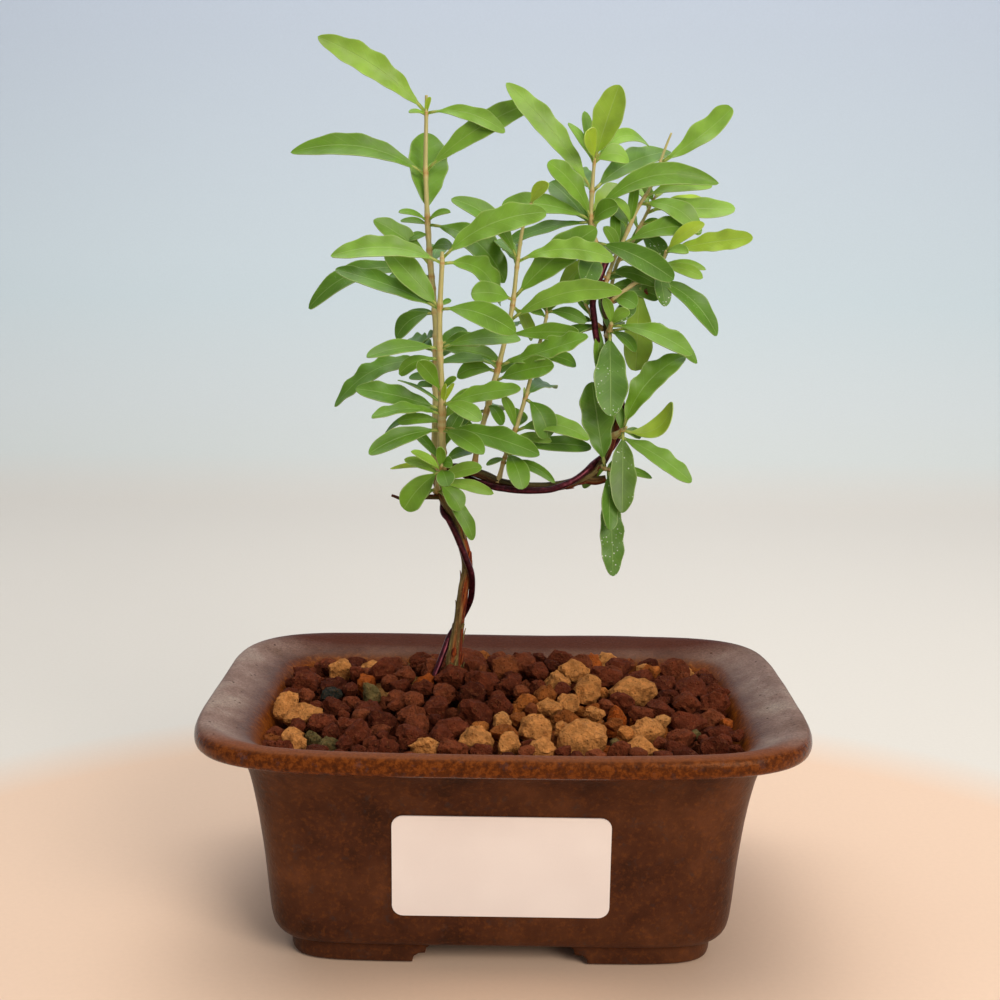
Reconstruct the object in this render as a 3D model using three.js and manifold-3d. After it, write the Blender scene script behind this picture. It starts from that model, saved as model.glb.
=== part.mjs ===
// A young pomegranate trained as a bonsai, in a soft-rectangular glazed clay pot with four feet.
// Millimetres, +Z up, the front of the pot towards -Y, origin under the middle of the pot on the ground.
import * as THREE from "three";
import { mergeVertices } from "three/addons/utils/BufferGeometryUtils.js";
import Module from "manifold-3d";

const wasm = await Module();
wasm.setup();

// ---------------------------------------------------------------- driving dimensions

const GAP = 0.3; // clearance between pieces that touch
const FRONT = new THREE.Vector3(0, -1, 0);

// The pot's level sections are soft rectangles: |x/a|^n + |y/b|^n = 1, squarer as n grows.
// Each row is [half width a, half depth b, height, squareness n].
const POT_SIDES = 28;
const POT_OUTSIDE = [
  [52, 35.2, 5, 8],
  [54.4, 36.6, 7.5, 8],
  [55.4, 37.2, 14, 8],
  [56.4, 38, 26, 8],
  [58.2, 39.6, 39, 8],
  [60.2, 42.3, 48, 7.5],
  [65, 48, 52.4, 6],
  [70.8, 54.2, 53.1, 5.2],
  [71.9, 55.3, 55.3, 5.2],
  [70.8, 54.2, 57.6, 5.2],
  [69.4, 52.8, 58, 5.2],
];
const POT_INSIDE = [
  [46.5, 30, 10, 8],
  [49.2, 32.4, 12.5, 8],
  [52.8, 35.6, 38, 8],
  [56.4, 39.2, 50, 7.5],
  [59, 42, 54, 7],
  [73.2, 56.4, 60, 5.2],
];
const FOOT_RING = [
  [49.8, 33.4, 0, 8],
  [50.6, 34.2, 1, 8],
  [50.6, 34.2, 6.8, 8],
];
const FOOT_RING_INSIDE = { a: 42, b: 26, squareness: 6 };
const FOOT_GAP_FRONT = 20.5; // half the opening between the feet, front and back
const FOOT_GAP_SIDE = 15; // the same on the two short sides
const POT_FLOOR_TOP = 10;
const DRAIN_RADIUS = 6;
const DRAIN_SIDES = 24;
const DRAIN_DEPTH = 12; // of the cutter, through the whole floor
const DRAIN_MIDDLE = 7; // its height
const DRAIN_X = 24;
const MESH_SQUARE = 20;
const MESH_THICKNESS = 1;
const MESH_HOLES = 3; // holes along a side
const MESH_HOLE = 4.4;
const MESH_PITCH = 6;

// The blank label stands on the front wall, leaning with it.
const LABEL_WIDTH = 50;
const LABEL_HEIGHT = 25;
const LABEL_CORNER = 3;
const LABEL_THICKNESS = 0.6;
const LABEL_BOTTOM = 13.5;

// The soil is a low mound of grains, highest behind the trunk.
const SOIL_EDGE = 50.2; // height of the bed at the pot wall
const SOIL_MOUND = 7.2;
const SOIL_PEAK = [3, 18];
const SOIL_SPREAD = { x: 42, front: 36, back: 16 };
const GRAIN_PITCH = 10.4;
const GRAIN_RADIUS = 5.8;
const GRAIN_INSET = 5.8; // the outermost grains' middles stay this far inside the bed's edge
const GRAIN_SEED = 7;
const TAN_PATCH = { x: 17, y: -17, halfWidth: 26, halfDepth: 13.5, depth: 5 };

// Wood. Each point is [x, y, z, radius].
const TRUNK = [
  [-13, 12, 50, 2.6],
  [-13, 12, 56.5, 2.4],
  [-12.7, 12, 61.5, 1.9],
  [-11.5, 12, 71.5, 1.45],
  [-10.5, 11, 79.5, 1.35],
  [-9.5, 10, 86, 1.35],
  [-10.9, 9, 93, 1.4],
  [-12.9, 8, 99.5, 1.45],
  [-15.7, 8, 104.5, 1.5],
  [-16.5, 8, 108.5, 1.5],
  [-13, 7, 111.3, 1.25],
  [-6, 5, 110, 1.15],
  [-1, 3, 108.3, 1.15],
  [6, 2, 107.6, 1.15],
  [13.5, 2, 108.1, 1.1],
  [20.5, 3, 110.5, 1.05],
  [23.8, 4, 113.7, 0.95],
  [26, 5, 119, 0.9],
  [27, 6, 126, 0.9],
  [26, 8, 135, 0.9],
  [24.7, 9, 143.5, 0.9],
  [23.9, 10, 151, 0.9],
  [22.8, 11, 158, 0.9],
];
const TRUNK_SIDES = 7;
const TRUNK_STEPS = 46;
const TWIG_SIDES = 6;
const TWIG_STEPS = 6;
const STEM_SIDES = 4;
const CUT_STUB = [
  [19, 3, 109.6, 1.1],
  [22, 2.5, 109.3, 1.1],
  [24.5, 2.5, 109.8, 0.9],
];
const CUT_LIMB = [
  [24, 10.2, 152.5, 1],
  [28, 11, 153.9, 1.1],
  [31, 11, 154.7, 1.2],
  [34.2, 10.5, 155.4, 1.25],
];
const DEAD_TWIG = [
  [-15.5, 8, 104, 0.8],
  [-20, 7, 104, 0.6],
  [-25, 6, 103.5, 0.5],
  [-28.5, 6, 104.5, 0.35],
];

// The training wire rises straight from the soil to the trunk, then winds round the wood. Each row
// is [place along the wood 0..1, turns completed].
const WIRE_RADIUS = 0.8;
const WIRE_SIDES = 5;
const WIRE_STEPS = 66;
const WIRE_FOOT = new THREE.Vector3(-19.5, 7, 52.5);
const WIRE_FOOT_STEPS = 6;
const LOOSE_STEPS = 10;
const WIRE_TURNS = [
  [0.105, 0.27],
  [0.13, 0.5],
  [0.175, 0.75],
  [0.24, 1],
  [0.29, 1.08],
  [0.32, 1.14],
  [0.345, 1.4],
  [0.37, 1.5],
  [0.4, 1.52],
  [0.46, 1.56],
  [0.5, 1.8],
  [0.55, 1.92],
  [0.62, 1.97],
  [0.66, 2.08],
  [0.7, 2.25],
  [0.75, 2.5],
  [0.805, 2.75],
  [0.85, 3],
  [0.885, 3.2],
];
// The wire's upper end stands off the wood.
const WIRE_END = [
  [21.7, 7, 143.7],
  [20.9, 6, 148.9],
  [20.5, 6, 153.1],
  [21.9, 6, 158.1],
  [23.1, 7, 161.3],
  [23.8, 8, 162.8],
];

// A leaf blade is a lens across, thickest at its rib. Each row is [place along, half width, thickness].
const LEAF_RIB = 1.2; // thickness at the rib
const LEAF_CUP = 0.1; // rise of the margins, as a share of the width
const LEAF_WAVE = 0.5; // height of the margin's waves
const LEAF_ROOT = 0.4; // where a stalk starts inside its stem, as a share of the stem's radius
const LEAF_FACING = new THREE.Vector3(0, -0.78, 0.62); // where the upper faces turn: front and up
const LEAF_UP = new THREE.Vector3(0, -0.3, 0.95); // the way a leaf arches
const LEAF_SPREAD = 1.15; // the blades' width, as a share of the listed width
const LEAF_ROWS = [
  [0, 0.1, 0.6],
  [0.13, 0.12, 0.7],
  [0.42, 1, 1],
  [0.8, 0.82, 0.8],
  [1, 0, 0],
];
const LEAFLET_ROWS = [
  [0, 0.4, 0.8],
  [0.6, 1, 0.9],
  [1, 0, 0],
];
const LEAFLET_WIDTH = 3.1; // a leaf narrower than this has the short list of rows

// Tones of green: a leaf's tone runs from 0, the youngest, to 5, the oldest.
const OLDEST_TONE = 5;
const YOUNG_GREEN = 0xa9bb3a;
const OLD_GREEN = 0x3a5f26;

// The leafy stems. A stem's points are [x, y, z, radius]. A leaf is
// [place along the stem 0..1, tip x, tip y, tip z, width, arch, roll in degrees, tone].
const SHOOTS = {
  shoot_rear_left: {
    stem: [
      [-17, 8.5, 108.5, 1.2],
      [-18, 11.5, 112.5, 1.2],
      [-18, 12.5, 120, 1.15],
      [-17.9, 14, 130, 1.1],
      [-18, 15, 141.5, 1],
      [-18.5, 16, 150, 0.9],
      [-20, 17, 165, 0.8],
      [-21, 18, 183, 0.7],
      [-21, 19, 197, 0.6],
      [-21, 19, 202.5, 0.45],
    ],
    leaves: [
      [0.905, -47, 13, 216.1, 6.4, 2.5, 0, 1],
      [0.905, -1.4, 14, 193.5, 4.2, 2.5, 15, 1],
      [0.78, -21, 34, 186, 5, 2, 0, 1],
      [0.78, -54, 14, 188, 5.8, 4.4, 0, 2],
      [0.785, 6.5, 15, 201.3, 6, 2.1, 10, 1.5],
      [0.715, -21, 27, 194, 9.9, 1, 10, 2],
      [0.71, -14.6, 13, 174.1, 2.2, 0.8, 0, 2],
      [0.705, -1, 14, 157, 7.8, 4.3, 10, 2.3],
      [0.64, -33.5, 13, 172, 5.5, 1.2, 10, 2],
      [0.62, -50, 15, 150, 5.6, 6.2, 10, 3],
      [0.6, -31, 30, 158, 4.6, 1.5, 20, 3],
      [0.64, -18, 40, 166, 5, 1, 0, 3],
      [0.55, -28.2, 16, 142.7, 5, 2, 0, 3],
      [0.55, -26, 21, 149, 2, 0.4, 10, 3],
      [0.47, -21, 21, 142, 3.6, 0.8, 0, 3],
      [0.43, -2, 17, 137, 4.3, 1.5, 20, 2],
      [0.42, -28, 36, 140, 5.5, 2, 0, 3],
      [0.4, -11, 24, 145, 5.1, 1, 20, 3],
      [0.4, -43.3, 12, 125.8, 6, 5, 10, 3],
      [0.36, -25, 18, 133, 2.5, 0.5, 0, 3],
      [0.9, -25, 15, 198, 1.8, 0.5, 0, 1],
      [0.9, -20, 18, 202, 1.3, 0.3, 0, 0],
      [0.71, -27.4, 13, 174, 1.9, 0.9, 0, 2],
      [0.705, -27.6, 22, 172, 1.9, 0.6, 0, 2],
      [0.34, -23, 20, 131, 1.8, 0.4, 0, 3],
      [0.665, -14.1, 17, 165.8, 3.6, 1, 0, 3.4],
      [0.69, -24.9, 15, 167.2, 2.2, 0.6, 0, 3],
    ],
  },
  shoot_front_left: {
    stem: [
      [-16, 7, 109, 1.3],
      [-15.8, 4.6, 113, 1.25],
      [-16, 4, 120.5, 1.15],
      [-16, 3, 130, 1],
      [-16.5, 1, 140.5, 0.9],
      [-16.5, 0, 150.5, 0.8],
      [-16, -1, 161.5, 0.7],
      [-16, -1, 164.5, 0.5],
    ],
    leaves: [
      [0.865, -42, -6, 163.2, 5.6, 3.1, 5, 1.5],
      [0.9, 8.6, -4, 174, 6.6, 2.9, 0, 1.6],
      [0.865, -2, 11, 152, 7.4, 4, 0, 1.6],
      [0.72, -29.6, 1.5, 165, 6.4, 0.3, -5, 2],
      [0.72, -42, 4, 160, 5, 1.2, 15, 3],
      [0.72, 1.8, -9, 146, 6.1, 2.2, -5, 2],
      [0.585, -33.6, -6, 139.6, 5.2, 1.4, 10, 2],
      [0.585, 3, -3, 144, 5, 1.5, 10, 2],
      [0.55, -26.4, 1, 135, 3.4, 1.6, 0, 2],
      [0.6, -6.5, 9, 142.5, 3.9, 1, 25, 3],
      [0.435, -21.3, -5, 138.6, 4, 0.5, -5, 2],
      [0.375, -37, 2, 131.3, 5.2, 0.8, 0, 3],
      [0.36, -25, 8, 128, 2.2, 0.6, 20, 2],
      [0.36, -32.5, -5, 125, 4.1, 1.9, 20, 2],
      [0.39, 3.2, -3, 132.3, 4.9, 1, 5, 1.5],
      [0.4, -6.3, -8, 125, 4.4, 1, 0, 1],
      [0.33, -27, 4, 123, 2.9, 1, 0, 2],
      [0.33, -30.5, 9, 119.5, 2.9, 2.8, 10, 3],
      [0.33, -8, 6, 131, 3.5, 1, 20, 2],
      [0.3, -33.4, -3, 116, 4.8, 1.6, 10, 2.5],
      [0.3, -5.5, -9, 117.2, 5, 1, 0, 2],
      [0.31, 8, -3, 116.3, 5.8, 1.2, 10, 2.6],
      [0.2, -11, 8, 126, 3.5, 1, 10, 3],
      [0.14, -9, 11, 115, 3.5, 1, 10, 3],
      [0.14, -24, 11, 121, 2.5, 0.6, 20, 3],
      [0.73, -14, 4, 153, 1.3, 0.2, 0, 3],
      [0.39, -15, -1, 133, 1.3, 0.3, 0, 0],
      [0.39, -13, 2, 133, 1.3, 0.3, 0, 0],
      [0.4, -26.8, 3, 133.5, 2.2, 0.6, 60, 3],
      [0.44, -12.5, 0, 134.6, 1.6, 0.5, 0, 2],
    ],
  },
  shoot_fork: {
    stem: [
      [-17.3, 8, 105.5, 0.9],
      [-17, 3.4, 107.2, 0.8],
      [-16.5, 0.6, 110, 0.7],
      [-15.5, -2, 113.5, 0.5],
    ],
    leaves: [
      [0.85, -25, 0, 102, 6, 1, -10, 2],
      [0.2, -23.6, 8, 101.4, 4.2, 1, 10, 2],
      [0.5, -11, 0, 102, 5, 1, 0, 2],
      [0.5, -6, -2, 113, 3.6, 1, 10, 1],
      [0.5, -3, 1, 106, 2.9, 1, 10, 1],
      [0.87, -23, -4.5, 117, 2.7, 0.6, 10, 1],
      [0.74, -25, 0, 114.4, 2.6, 0.8, 10, 1],
      [0.88, -16, -4, 118, 2.4, 0.5, 0, 2],
      [0.88, -14, -7, 109, 4.3, 0.8, -20, 2.8],
      [0.95, -13, -4, 114, 2.9, 0.8, -20, 3],
      [0.2, -8, 3, 94, 3.7, 2, 0, 2],
      [0.9, -29, 7, 111, 1.3, 1, 0, 0],
    ],
  },
  shoot_centre: {
    stem: [
      [-8, 6, 112, 0.8],
      [-7, 6, 118.5, 0.8],
      [-5, 6, 126, 0.8],
      [-2.5, 6, 136, 0.8],
      [-0.5, 6, 144.5, 0.7],
      [1, 6, 152, 0.7],
      [2, 6, 162, 0.6],
      [3.5, 6, 172, 0.5],
      [5.5, 6, 177, 0.4],
    ],
    leaves: [
      [0.97, 9, 2, 181, 3.2, 0.8, 20, 0],
      [0.755, -14, 2, 177, 5, 3.2, 15, 2.4],
      [0.755, -3, 16, 167.6, 4, 1, 10, 2],
      [0.755, 25.1, 1, 163.2, 5.3, 2.9, 10, 1],
      [0.74, 0, 28, 166, 5, 2, 0, 2],
      [0.645, 21, 6, 170.6, 7.4, 1.2, 0, 2],
      [0.64, -9, 0, 154.6, 5.5, 1, 0, 1.7],
      [0.56, 27, -2, 155.7, 5.2, 3.3, 20, 1],
      [0.5, 17, 0, 145.6, 4.2, 0.6, 15, 2],
      [0.5, 2, 30, 146, 5.5, 2, 0, 3],
      [0.4, -16.5, 12, 137.5, 4.2, 1, 20, 3],
      [0.39, 19, -4, 145, 6.1, 0, 0, 2],
      [0.37, -12.6, 9, 134.1, 4.4, 1.6, 10, 3],
      [0.34, 11, -3, 138, 5.6, 0.8, 0, 2],
      [0.27, -1, 1, 123, 2.9, 1, 0, 3],
      [0.25, -13, 12, 121, 3.5, 1, 10, 3],
      [0.24, -2, 26, 124, 5, 2, 0, 3],
      [0.13, -13, 12, 123, 3, 0.8, 0, 2],
      [0.08, -10, 10, 119, 2, 0.5, 0, 1],
      [0.62, 6, 13, 143, 4, 1, 0, 1],
      [0.38, -6, 1, 139, 1.9, 0.3, 30, 3],
    ],
  },
  shoot_centre_right: {
    stem: [
      [-2, 3, 108.5, 0.7],
      [-0.5, 3, 114.5, 0.6],
      [2, 3, 121.5, 0.7],
      [4.5, 3, 130, 0.6],
      [7, 4, 140, 0.6],
      [9, 5, 148, 0.5],
      [9.5, 5, 151.5, 0.4],
    ],
    leaves: [
      [0.87, 5, 4, 151, 2.4, 0.5, 20, 3],
      [0.94, 19, 4, 148, 3.2, 1, 20, 3],
      [0.92, 7, 9, 154, 2.2, 0.5, 20, 3],
      [0.49, 10, 0, 120, 6, 2.2, 0, 3],
      [0.34, -1, 1, 130, 2.4, 0.5, 0, 2],
      [0.33, 20, -1, 120, 4.8, 3, 10, 1.4],
      [0.33, 3, 9, 126, 4.9, 0.5, 0, 2],
      [0.29, 11, 2, 119, 2.4, 0.8, 20, 1],
      [0.24, 21, 7, 117, 4.4, 1, 20, 3],
      [0.21, 4, -4, 108, 5.3, 1.5, 0, 2],
      [0.14, 12, 0, 109, 2.4, 2, 20, 3],
      [0.66, 17, 12, 137, 3.5, 1, 20, 3],
      [0.66, -2, 13, 135, 3, 1, 20, 3],
      [0.5, 12, 26, 130, 5, 2, 0, 3],
      [0.92, 12, 2, 153, 1.7, 0.5, 20, 2],
      [0.49, 4, -1, 132, 1.4, 0.4, 0, 1],
      [0.17, -5, 2, 113, 1.9, 0.3, 10, 3],
    ],
  },
  shoot_right_tall: {
    stem: [
      [22.9, 11, 158.4, 0.8],
      [22, 11, 164, 0.8],
      [20, 11, 171.5, 0.7],
      [20, 12, 179, 0.7],
      [20.5, 12, 187.5, 0.4],
    ],
    leaves: [
      [0.98, 25.8, 8, 204.4, 7.2, 0.2, -5, 0.7],
      [0.98, 18, 4, 193, 5.4, 1, 0, 0],
      [0.96, 18, 17, 199, 3, 0.8, 0, 1],
      [0.96, 14, 15, 196, 3, 0.8, 20, 1],
      [0.97, 34.5, 21, 191, 4, 4.5, 20, 1],
      [0.97, 29, 13, 187, 5, 2, 20, 1],
      [0.765, -1.3, 10, 204.8, 5.8, 1.7, 0, 1],
      [0.76, 40, 24, 190, 7.6, 2.5, 10, 2.6],
      [0.765, 16, 36, 186, 5, 1, 0, 2],
      [0.54, 9, 5, 186, 6, 1.7, 0, 1.4],
      [0.54, -2, 10, 176, 5.6, 1.8, 5, 2],
      [0.57, 50.7, 10, 181.7, 5.6, 6, 12, 2],
      [0.52, -2, 20, 166, 4.6, 1.5, 25, 3],
      [0.51, 26, 6, 176, 5.4, 0.8, 0, 2.3],
      [0.48, 10, 20, 182, 6.6, 1, 10, 3],
      [0.46, 22, 38, 176, 6, 2, 0, 2],
      [0.44, 26, 22, 182, 5.1, 1, 10, 1.2],
      [0.34, 14, 18, 168, 3, 1, 20, 3],
      [0.21, 18, 1, 157, 6.3, 2, -20, 4],
      [0.17, 16, 12, 157, 2.5, 0.6, 0, 1],
      [0.25, 13, 20, 155, 4.6, 1, 10, 1.4],
      [0.36, 39.6, 2, 158.6, 5.8, 1.5, 0, 3.3],
    ],
  },
  shoot_right_leaning: {
    stem: [
      [22.9, 10.4, 154.5, 0.7],
      [24.2, 11, 158.5, 0.65],
      [26, 12.3, 163.5, 0.6],
      [27.8, 13.3, 167, 0.6],
      [31.5, 15, 175.5, 0.55],
      [35, 16, 181.5, 0.5],
      [38, 17, 190, 0.4],
      [39.5, 17, 194, 0.3],
    ],
    leaves: [
      [0.795, 53.8, 14, 199.9, 6.4, -0.6, 0, 1],
      [0.64, 50, 17, 181.4, 4.2, 1.6, 10, 1],
      [0.6, 47, 11.5, 169.5, 5.4, 3, 0, 1.4],
      [0.6, 56.3, 20, 176, 6, -0.5, 10, 1],
      [0.51, 25, 12, 178, 2.4, 1, 20, 1],
      [0.51, 31, 15, 182, 2.5, 0.5, 0, 2],
      [0.49, 26, 22, 176, 3.6, 1, 10, 1],
      [0.42, 47.2, 12, 170.8, 5.5, 2.2, 0, 1],
      [0.41, 33, 8, 163, 3, 1, -10, 3],
      [0.33, 23, 10, 171, 3, 0.8, 0, 2],
      [0.33, 26, 19, 175, 2.5, 0.6, 0, 2],
      [0.34, 28, 24, 174, 3.6, 1, 20, 2],
      [0.18, 36, 8, 157, 3.5, 1.5, 10, 3],
      [0.13, 33, 18, 160, 3, 1, 10, 3],
      [0.07, 38, 14, 154, 5, 1.5, 10, 3],
    ],
  },
  shoot_right_slender: {
    stem: [
      [24.2, 10.6, 152.5, 0.6],
      [25.5, 13.5, 157, 0.6],
      [27, 15.5, 162.5, 0.6],
      [30.5, 18, 167, 0.5],
      [33, 20, 172, 0.5],
      [36.5, 21, 179, 0.3],
    ],
    leaves: [
      [0.96, 33, 20, 181, 2.3, 0.5, 0, 1],
      [0.88, 50, 28, 178, 4.2, 1, 10, 0.5],
      [0.79, 46, 24, 171, 3.1, 1, 10, 0],
      [0.9, 33, 42, 184, 5.5, 2, 0, 0.7],
      [0.75, 28, 27, 176, 3.1, 1, 20, 2],
      [0.5, 38, 26, 173, 3.6, 1, 20, 2],
      [0.42, 36, 26, 162, 4.1, 1, 0, 3],
      [0.45, 26, 40, 164, 5.5, 2, 0, 3],
      [0.54, 34, 16, 163, 3, 1, 0, 2],
      [0.97, 39, 26, 181, 1.8, 0.4, 0, 0],
      [0.72, 38.2, 18, 162.3, 5.4, 1.6, 0, 4],
    ],
  },
  shoot_side_sprig: {
    stem: [
      [24.4, 9.6, 152, 0.6],
      [27, 8, 154.5, 0.6],
      [31, 9, 157.5, 0.6],
      [35, 10, 159.5, 0.6],
      [37.5, 10.5, 162.5, 0.5],
      [38.5, 10.5, 165.5, 0.4],
    ],
    leaves: [
      [0.76, 48, 8, 161, 2.5, 1, 10, 1],
      [0.74, 47, 5, 159, 3.2, 1, 10, 1],
      [0.97, 58.6, 4.5, 168.8, 4.9, 0.6, 10, 0.2],
      [0.97, 43, 3, 165, 2.7, 0.8, 10, 1],
      [0.97, 47, 6, 172, 3.8, 1, 0, 0],
      [0.7, 38, 5, 152, 4.1, 0.8, -10, 4],
      [0.55, 51, 6, 145, 5.8, 3, 0, 3],
      [0.45, 31.9, 12, 135.7, 7, 0.5, 0, 1.3],
      [0.25, 37, 11, 154, 3.5, 1, 10, 3],
      [0.1, 31, 4, 152, 4.9, 1.2, 0, 2.6],
      [0.35, 36, 15, 165, 3, 1, 10, 2],
    ],
  },
  shoot_branch_left: {
    stem: [
      [23.4, 10, 146, 0.5],
      [21, 8.4, 148, 0.5],
      [19.5, 7, 151, 0.4],
      [18.5, 7, 152.5, 0.3],
    ],
    leaves: [
      [0.35, 16, 8, 148, 2.4, 0.6, 20, 3],
      [0.21, 12, 5, 143, 3.4, 1, 10, 3],
      [0.14, 22, 4, 136, 2.9, 1, -20, 2],
      [0.14, 2, 16, 136, 4, 1.5, 50, 4],
      [0.89, 18, 6, 154, 1.3, 0.3, 0, 1],
      [0.78, 20, 9, 154, 1.3, 0.3, 0, 1],
      [0.46, 17, 10, 153, 1.3, 0.4, 0, 2],
    ],
  },
  shoot_branch_middle: {
    stem: [
      [24.5, 9, 144.5, 0.8],
      [24.8, 5, 146.5, 0.7],
      [25, 3, 148, 0.5],
    ],
    leaves: [
      [0.38, 24.9, -4, 126, 7.9, 1, -10, 4],
      [0.75, 44, -3, 141, 5.3, 2, 0, 1.8],
      [0.35, 46.3, 5, 138.3, 4.4, 4, 0, 2.6],
      [0.35, 31, 3, 141, 3.2, 1.2, 0, 3],
      [0.85, 29, 0, 151, 2.9, 0.8, 0, 1],
      [0.68, 31, 7, 152, 3.9, 0.8, 10, 3.4],
      [0.83, 23, 2, 154, 2.4, 0.5, 0, 2],
      [0.3, 23, 15, 154, 2.5, 0.5, 0, 3],
      [0.3, 28, 30, 146, 5.5, 2, 0, 3],
    ],
  },
  shoot_branch_low: {
    stem: [
      [26.1, 5, 120, 0.7],
      [28.3, 2, 122, 0.6],
      [29, 0, 123, 0.4],
    ],
    leaves: [
      [0.5, 28, -7, 103, 6.2, 1, -10, 4],
      [0.12, 45, -2, 110, 5, 1.4, 0, 1.8],
      [0.45, 40, 1, 129, 4.8, -4, 0, 0.6],
      [0.45, 43.5, 8, 140, 6.6, 3.9, 0, 2],
      [0.4, 27, 4, 128, 2.4, 0.4, 0, 3],
      [0.42, 33, 4, 120, 2.4, 0.8, 10, 3],
    ],
  },
  shoot_branch_bend: {
    stem: [
      [23.4, 4, 113, 0.7],
      [24.3, 1, 112.5, 0.5],
      [25.5, 0, 112.5, 0.4],
    ],
    leaves: [
      [0.4, 20.5, 3, 133.6, 7.6, 0, 0, 3],
      [0.77, 26.3, -5, 87, 5.7, 1, -10, 4],
      [0.77, 25, -8, 99, 4.5, 0.8, -10, 2.6],
      [0.89, 36, 4, 110, 2.4, 0.8, 10, 2],
      [0.4, 19, 6, 107, 2.5, 0.6, 0, 2],
      [0.5, 28, 3, 114, 1.9, 0.4, 0, 1],
    ],
  },
};

// ---------------------------------------------------------------- solids

// A closed three.js geometry as a manifold solid.
function solid(geometry) {
  const bare = new THREE.BufferGeometry();
  bare.setAttribute("position", geometry.getAttribute("position"));
  bare.setIndex(geometry.index);
  const merged = mergeVertices(bare, 1e-4);
  const corners = merged.index.array;
  const kept = [];
  for (let i = 0; i < corners.length; i += 3) {
    const [a, b, c] = corners.subarray(i, i + 3);
    if (a !== b && b !== c && c !== a) kept.push(a, b, c);
  }
  const vertProperties = merged.getAttribute("position").array;
  const triVerts = new Uint32Array(kept);
  return new wasm.Manifold(new wasm.Mesh({ numProp: 3, vertProperties, triVerts }));
}

// Moves each vertex of a geometry to where the rule puts it.
function place(geometry, rule) {
  const position = geometry.getAttribute("position");
  const vertex = new THREE.Vector3();
  for (let i = 0; i < position.count; i += 1) {
    vertex.fromBufferAttribute(position, i);
    const moved = rule(vertex.x, vertex.y, vertex.z);
    position.setXYZ(i, moved.x, moved.y, moved.z);
  }
  return geometry;
}

function union(solids) {
  return solids.reduce((whole, next) => whole.add(next));
}

// The largest body of a solid, without loose scraps.
function largest(whole) {
  return whole.decompose().reduce((best, body) => (body.volume() > best.volume() ? body : best));
}

function meshOf(name, body, look) {
  const { vertProperties, triVerts } = body.getMesh();
  const geometry = new THREE.BufferGeometry();
  geometry.setAttribute("position", new THREE.BufferAttribute(vertProperties, 3));
  geometry.setIndex(new THREE.BufferAttribute(triVerts, 1));
  geometry.computeVertexNormals();
  const mesh = new THREE.Mesh(geometry, new THREE.MeshStandardMaterial(look));
  mesh.name = name;
  return mesh;
}

// ---------------------------------------------------------------- pot

// A point of a soft rectangle: the angle runs round it, reach is 1 on its line and 0 at its middle.
function softRectangle([a, b, z, squareness], angle, reach = 1) {
  const [x, y] = [Math.cos(angle), Math.sin(angle)].map((value) => {
    const size = Math.abs(value) < 1e-9 ? 0 : Math.abs(value);
    return Math.sign(value) * size ** (2 / squareness);
  });
  return new THREE.Vector3(a * reach * x, b * reach * y, z);
}

// A closed solid through rows of soft rectangles, from the lowest row to the highest.
function potForm(rows) {
  const form = new THREE.CylinderGeometry(1, 1, 1, POT_SIDES, rows.length - 1);
  return solid(
    place(form, (x, y, z) => {
      const row = rows[Math.round((y + 0.5) * (rows.length - 1))];
      return softRectangle(row, Math.atan2(-z, x), Math.hypot(x, z) > 0.5 ? 1 : 0);
    }),
  );
}

// The opening between two feet: an arch whose ends step in twice, like the edge of a cloud.
function footArch(halfWidth, length) {
  const top = POT_OUTSIDE[0][2] + 0.6;
  const arch = new THREE.Shape();
  arch.moveTo(-halfWidth, -1);
  arch.lineTo(-halfWidth, 0.6);
  arch.quadraticCurveTo(-halfWidth + 0.4, 2.6, -halfWidth + 3, 2.8);
  arch.quadraticCurveTo(-halfWidth + 3.6, top, -halfWidth + 8, top);
  arch.lineTo(halfWidth - 8, top);
  arch.quadraticCurveTo(halfWidth - 3.6, top, halfWidth - 3, 2.8);
  arch.quadraticCurveTo(halfWidth - 0.4, 2.6, halfWidth, 0.6);
  arch.lineTo(halfWidth, -1);
  const cutter = new THREE.ExtrudeGeometry(arch, { depth: length, bevelEnabled: false, curveSegments: 3 });
  cutter.rotateX(Math.PI / 2);
  cutter.translate(0, length / 2, 0);
  return cutter;
}

function makePot() {
  const { a, b, squareness } = FOOT_RING_INSIDE;
  const footHollow = potForm([
    [a, b, -1, squareness],
    [a, b, 6.2, squareness],
  ]);
  const feet = potForm(FOOT_RING)
    .subtract(footHollow)
    .subtract(solid(footArch(FOOT_GAP_FRONT, 100)))
    .subtract(solid(footArch(FOOT_GAP_SIDE, 140).rotateZ(Math.PI / 2)));
  const drains = [-DRAIN_X, DRAIN_X].map((x) => {
    const drain = new THREE.CylinderGeometry(DRAIN_RADIUS, DRAIN_RADIUS, DRAIN_DEPTH, DRAIN_SIDES);
    drain.rotateX(Math.PI / 2);
    drain.translate(x, 0, DRAIN_MIDDLE);
    return solid(drain);
  });
  return potForm(POT_OUTSIDE).add(feet).subtract(potForm(POT_INSIDE)).subtract(union(drains));
}

// A square of plastic mesh lying on the pot's floor over a drain hole.
function makeDrainMesh(x) {
  const height = POT_FLOOR_TOP + GAP + MESH_THICKNESS / 2;
  const sheet = new THREE.BoxGeometry(MESH_SQUARE, MESH_SQUARE, MESH_THICKNESS);
  const holes = [];
  for (let i = 0; i < MESH_HOLES ** 2; i += 1) {
    const column = (i % MESH_HOLES) - (MESH_HOLES - 1) / 2;
    const row = Math.floor(i / MESH_HOLES) - (MESH_HOLES - 1) / 2;
    const hole = new THREE.BoxGeometry(MESH_HOLE, MESH_HOLE, 4);
    holes.push(solid(hole.translate(x + column * MESH_PITCH, row * MESH_PITCH, height)));
  }
  return solid(sheet.translate(x, 0, height)).subtract(union(holes));
}

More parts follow.
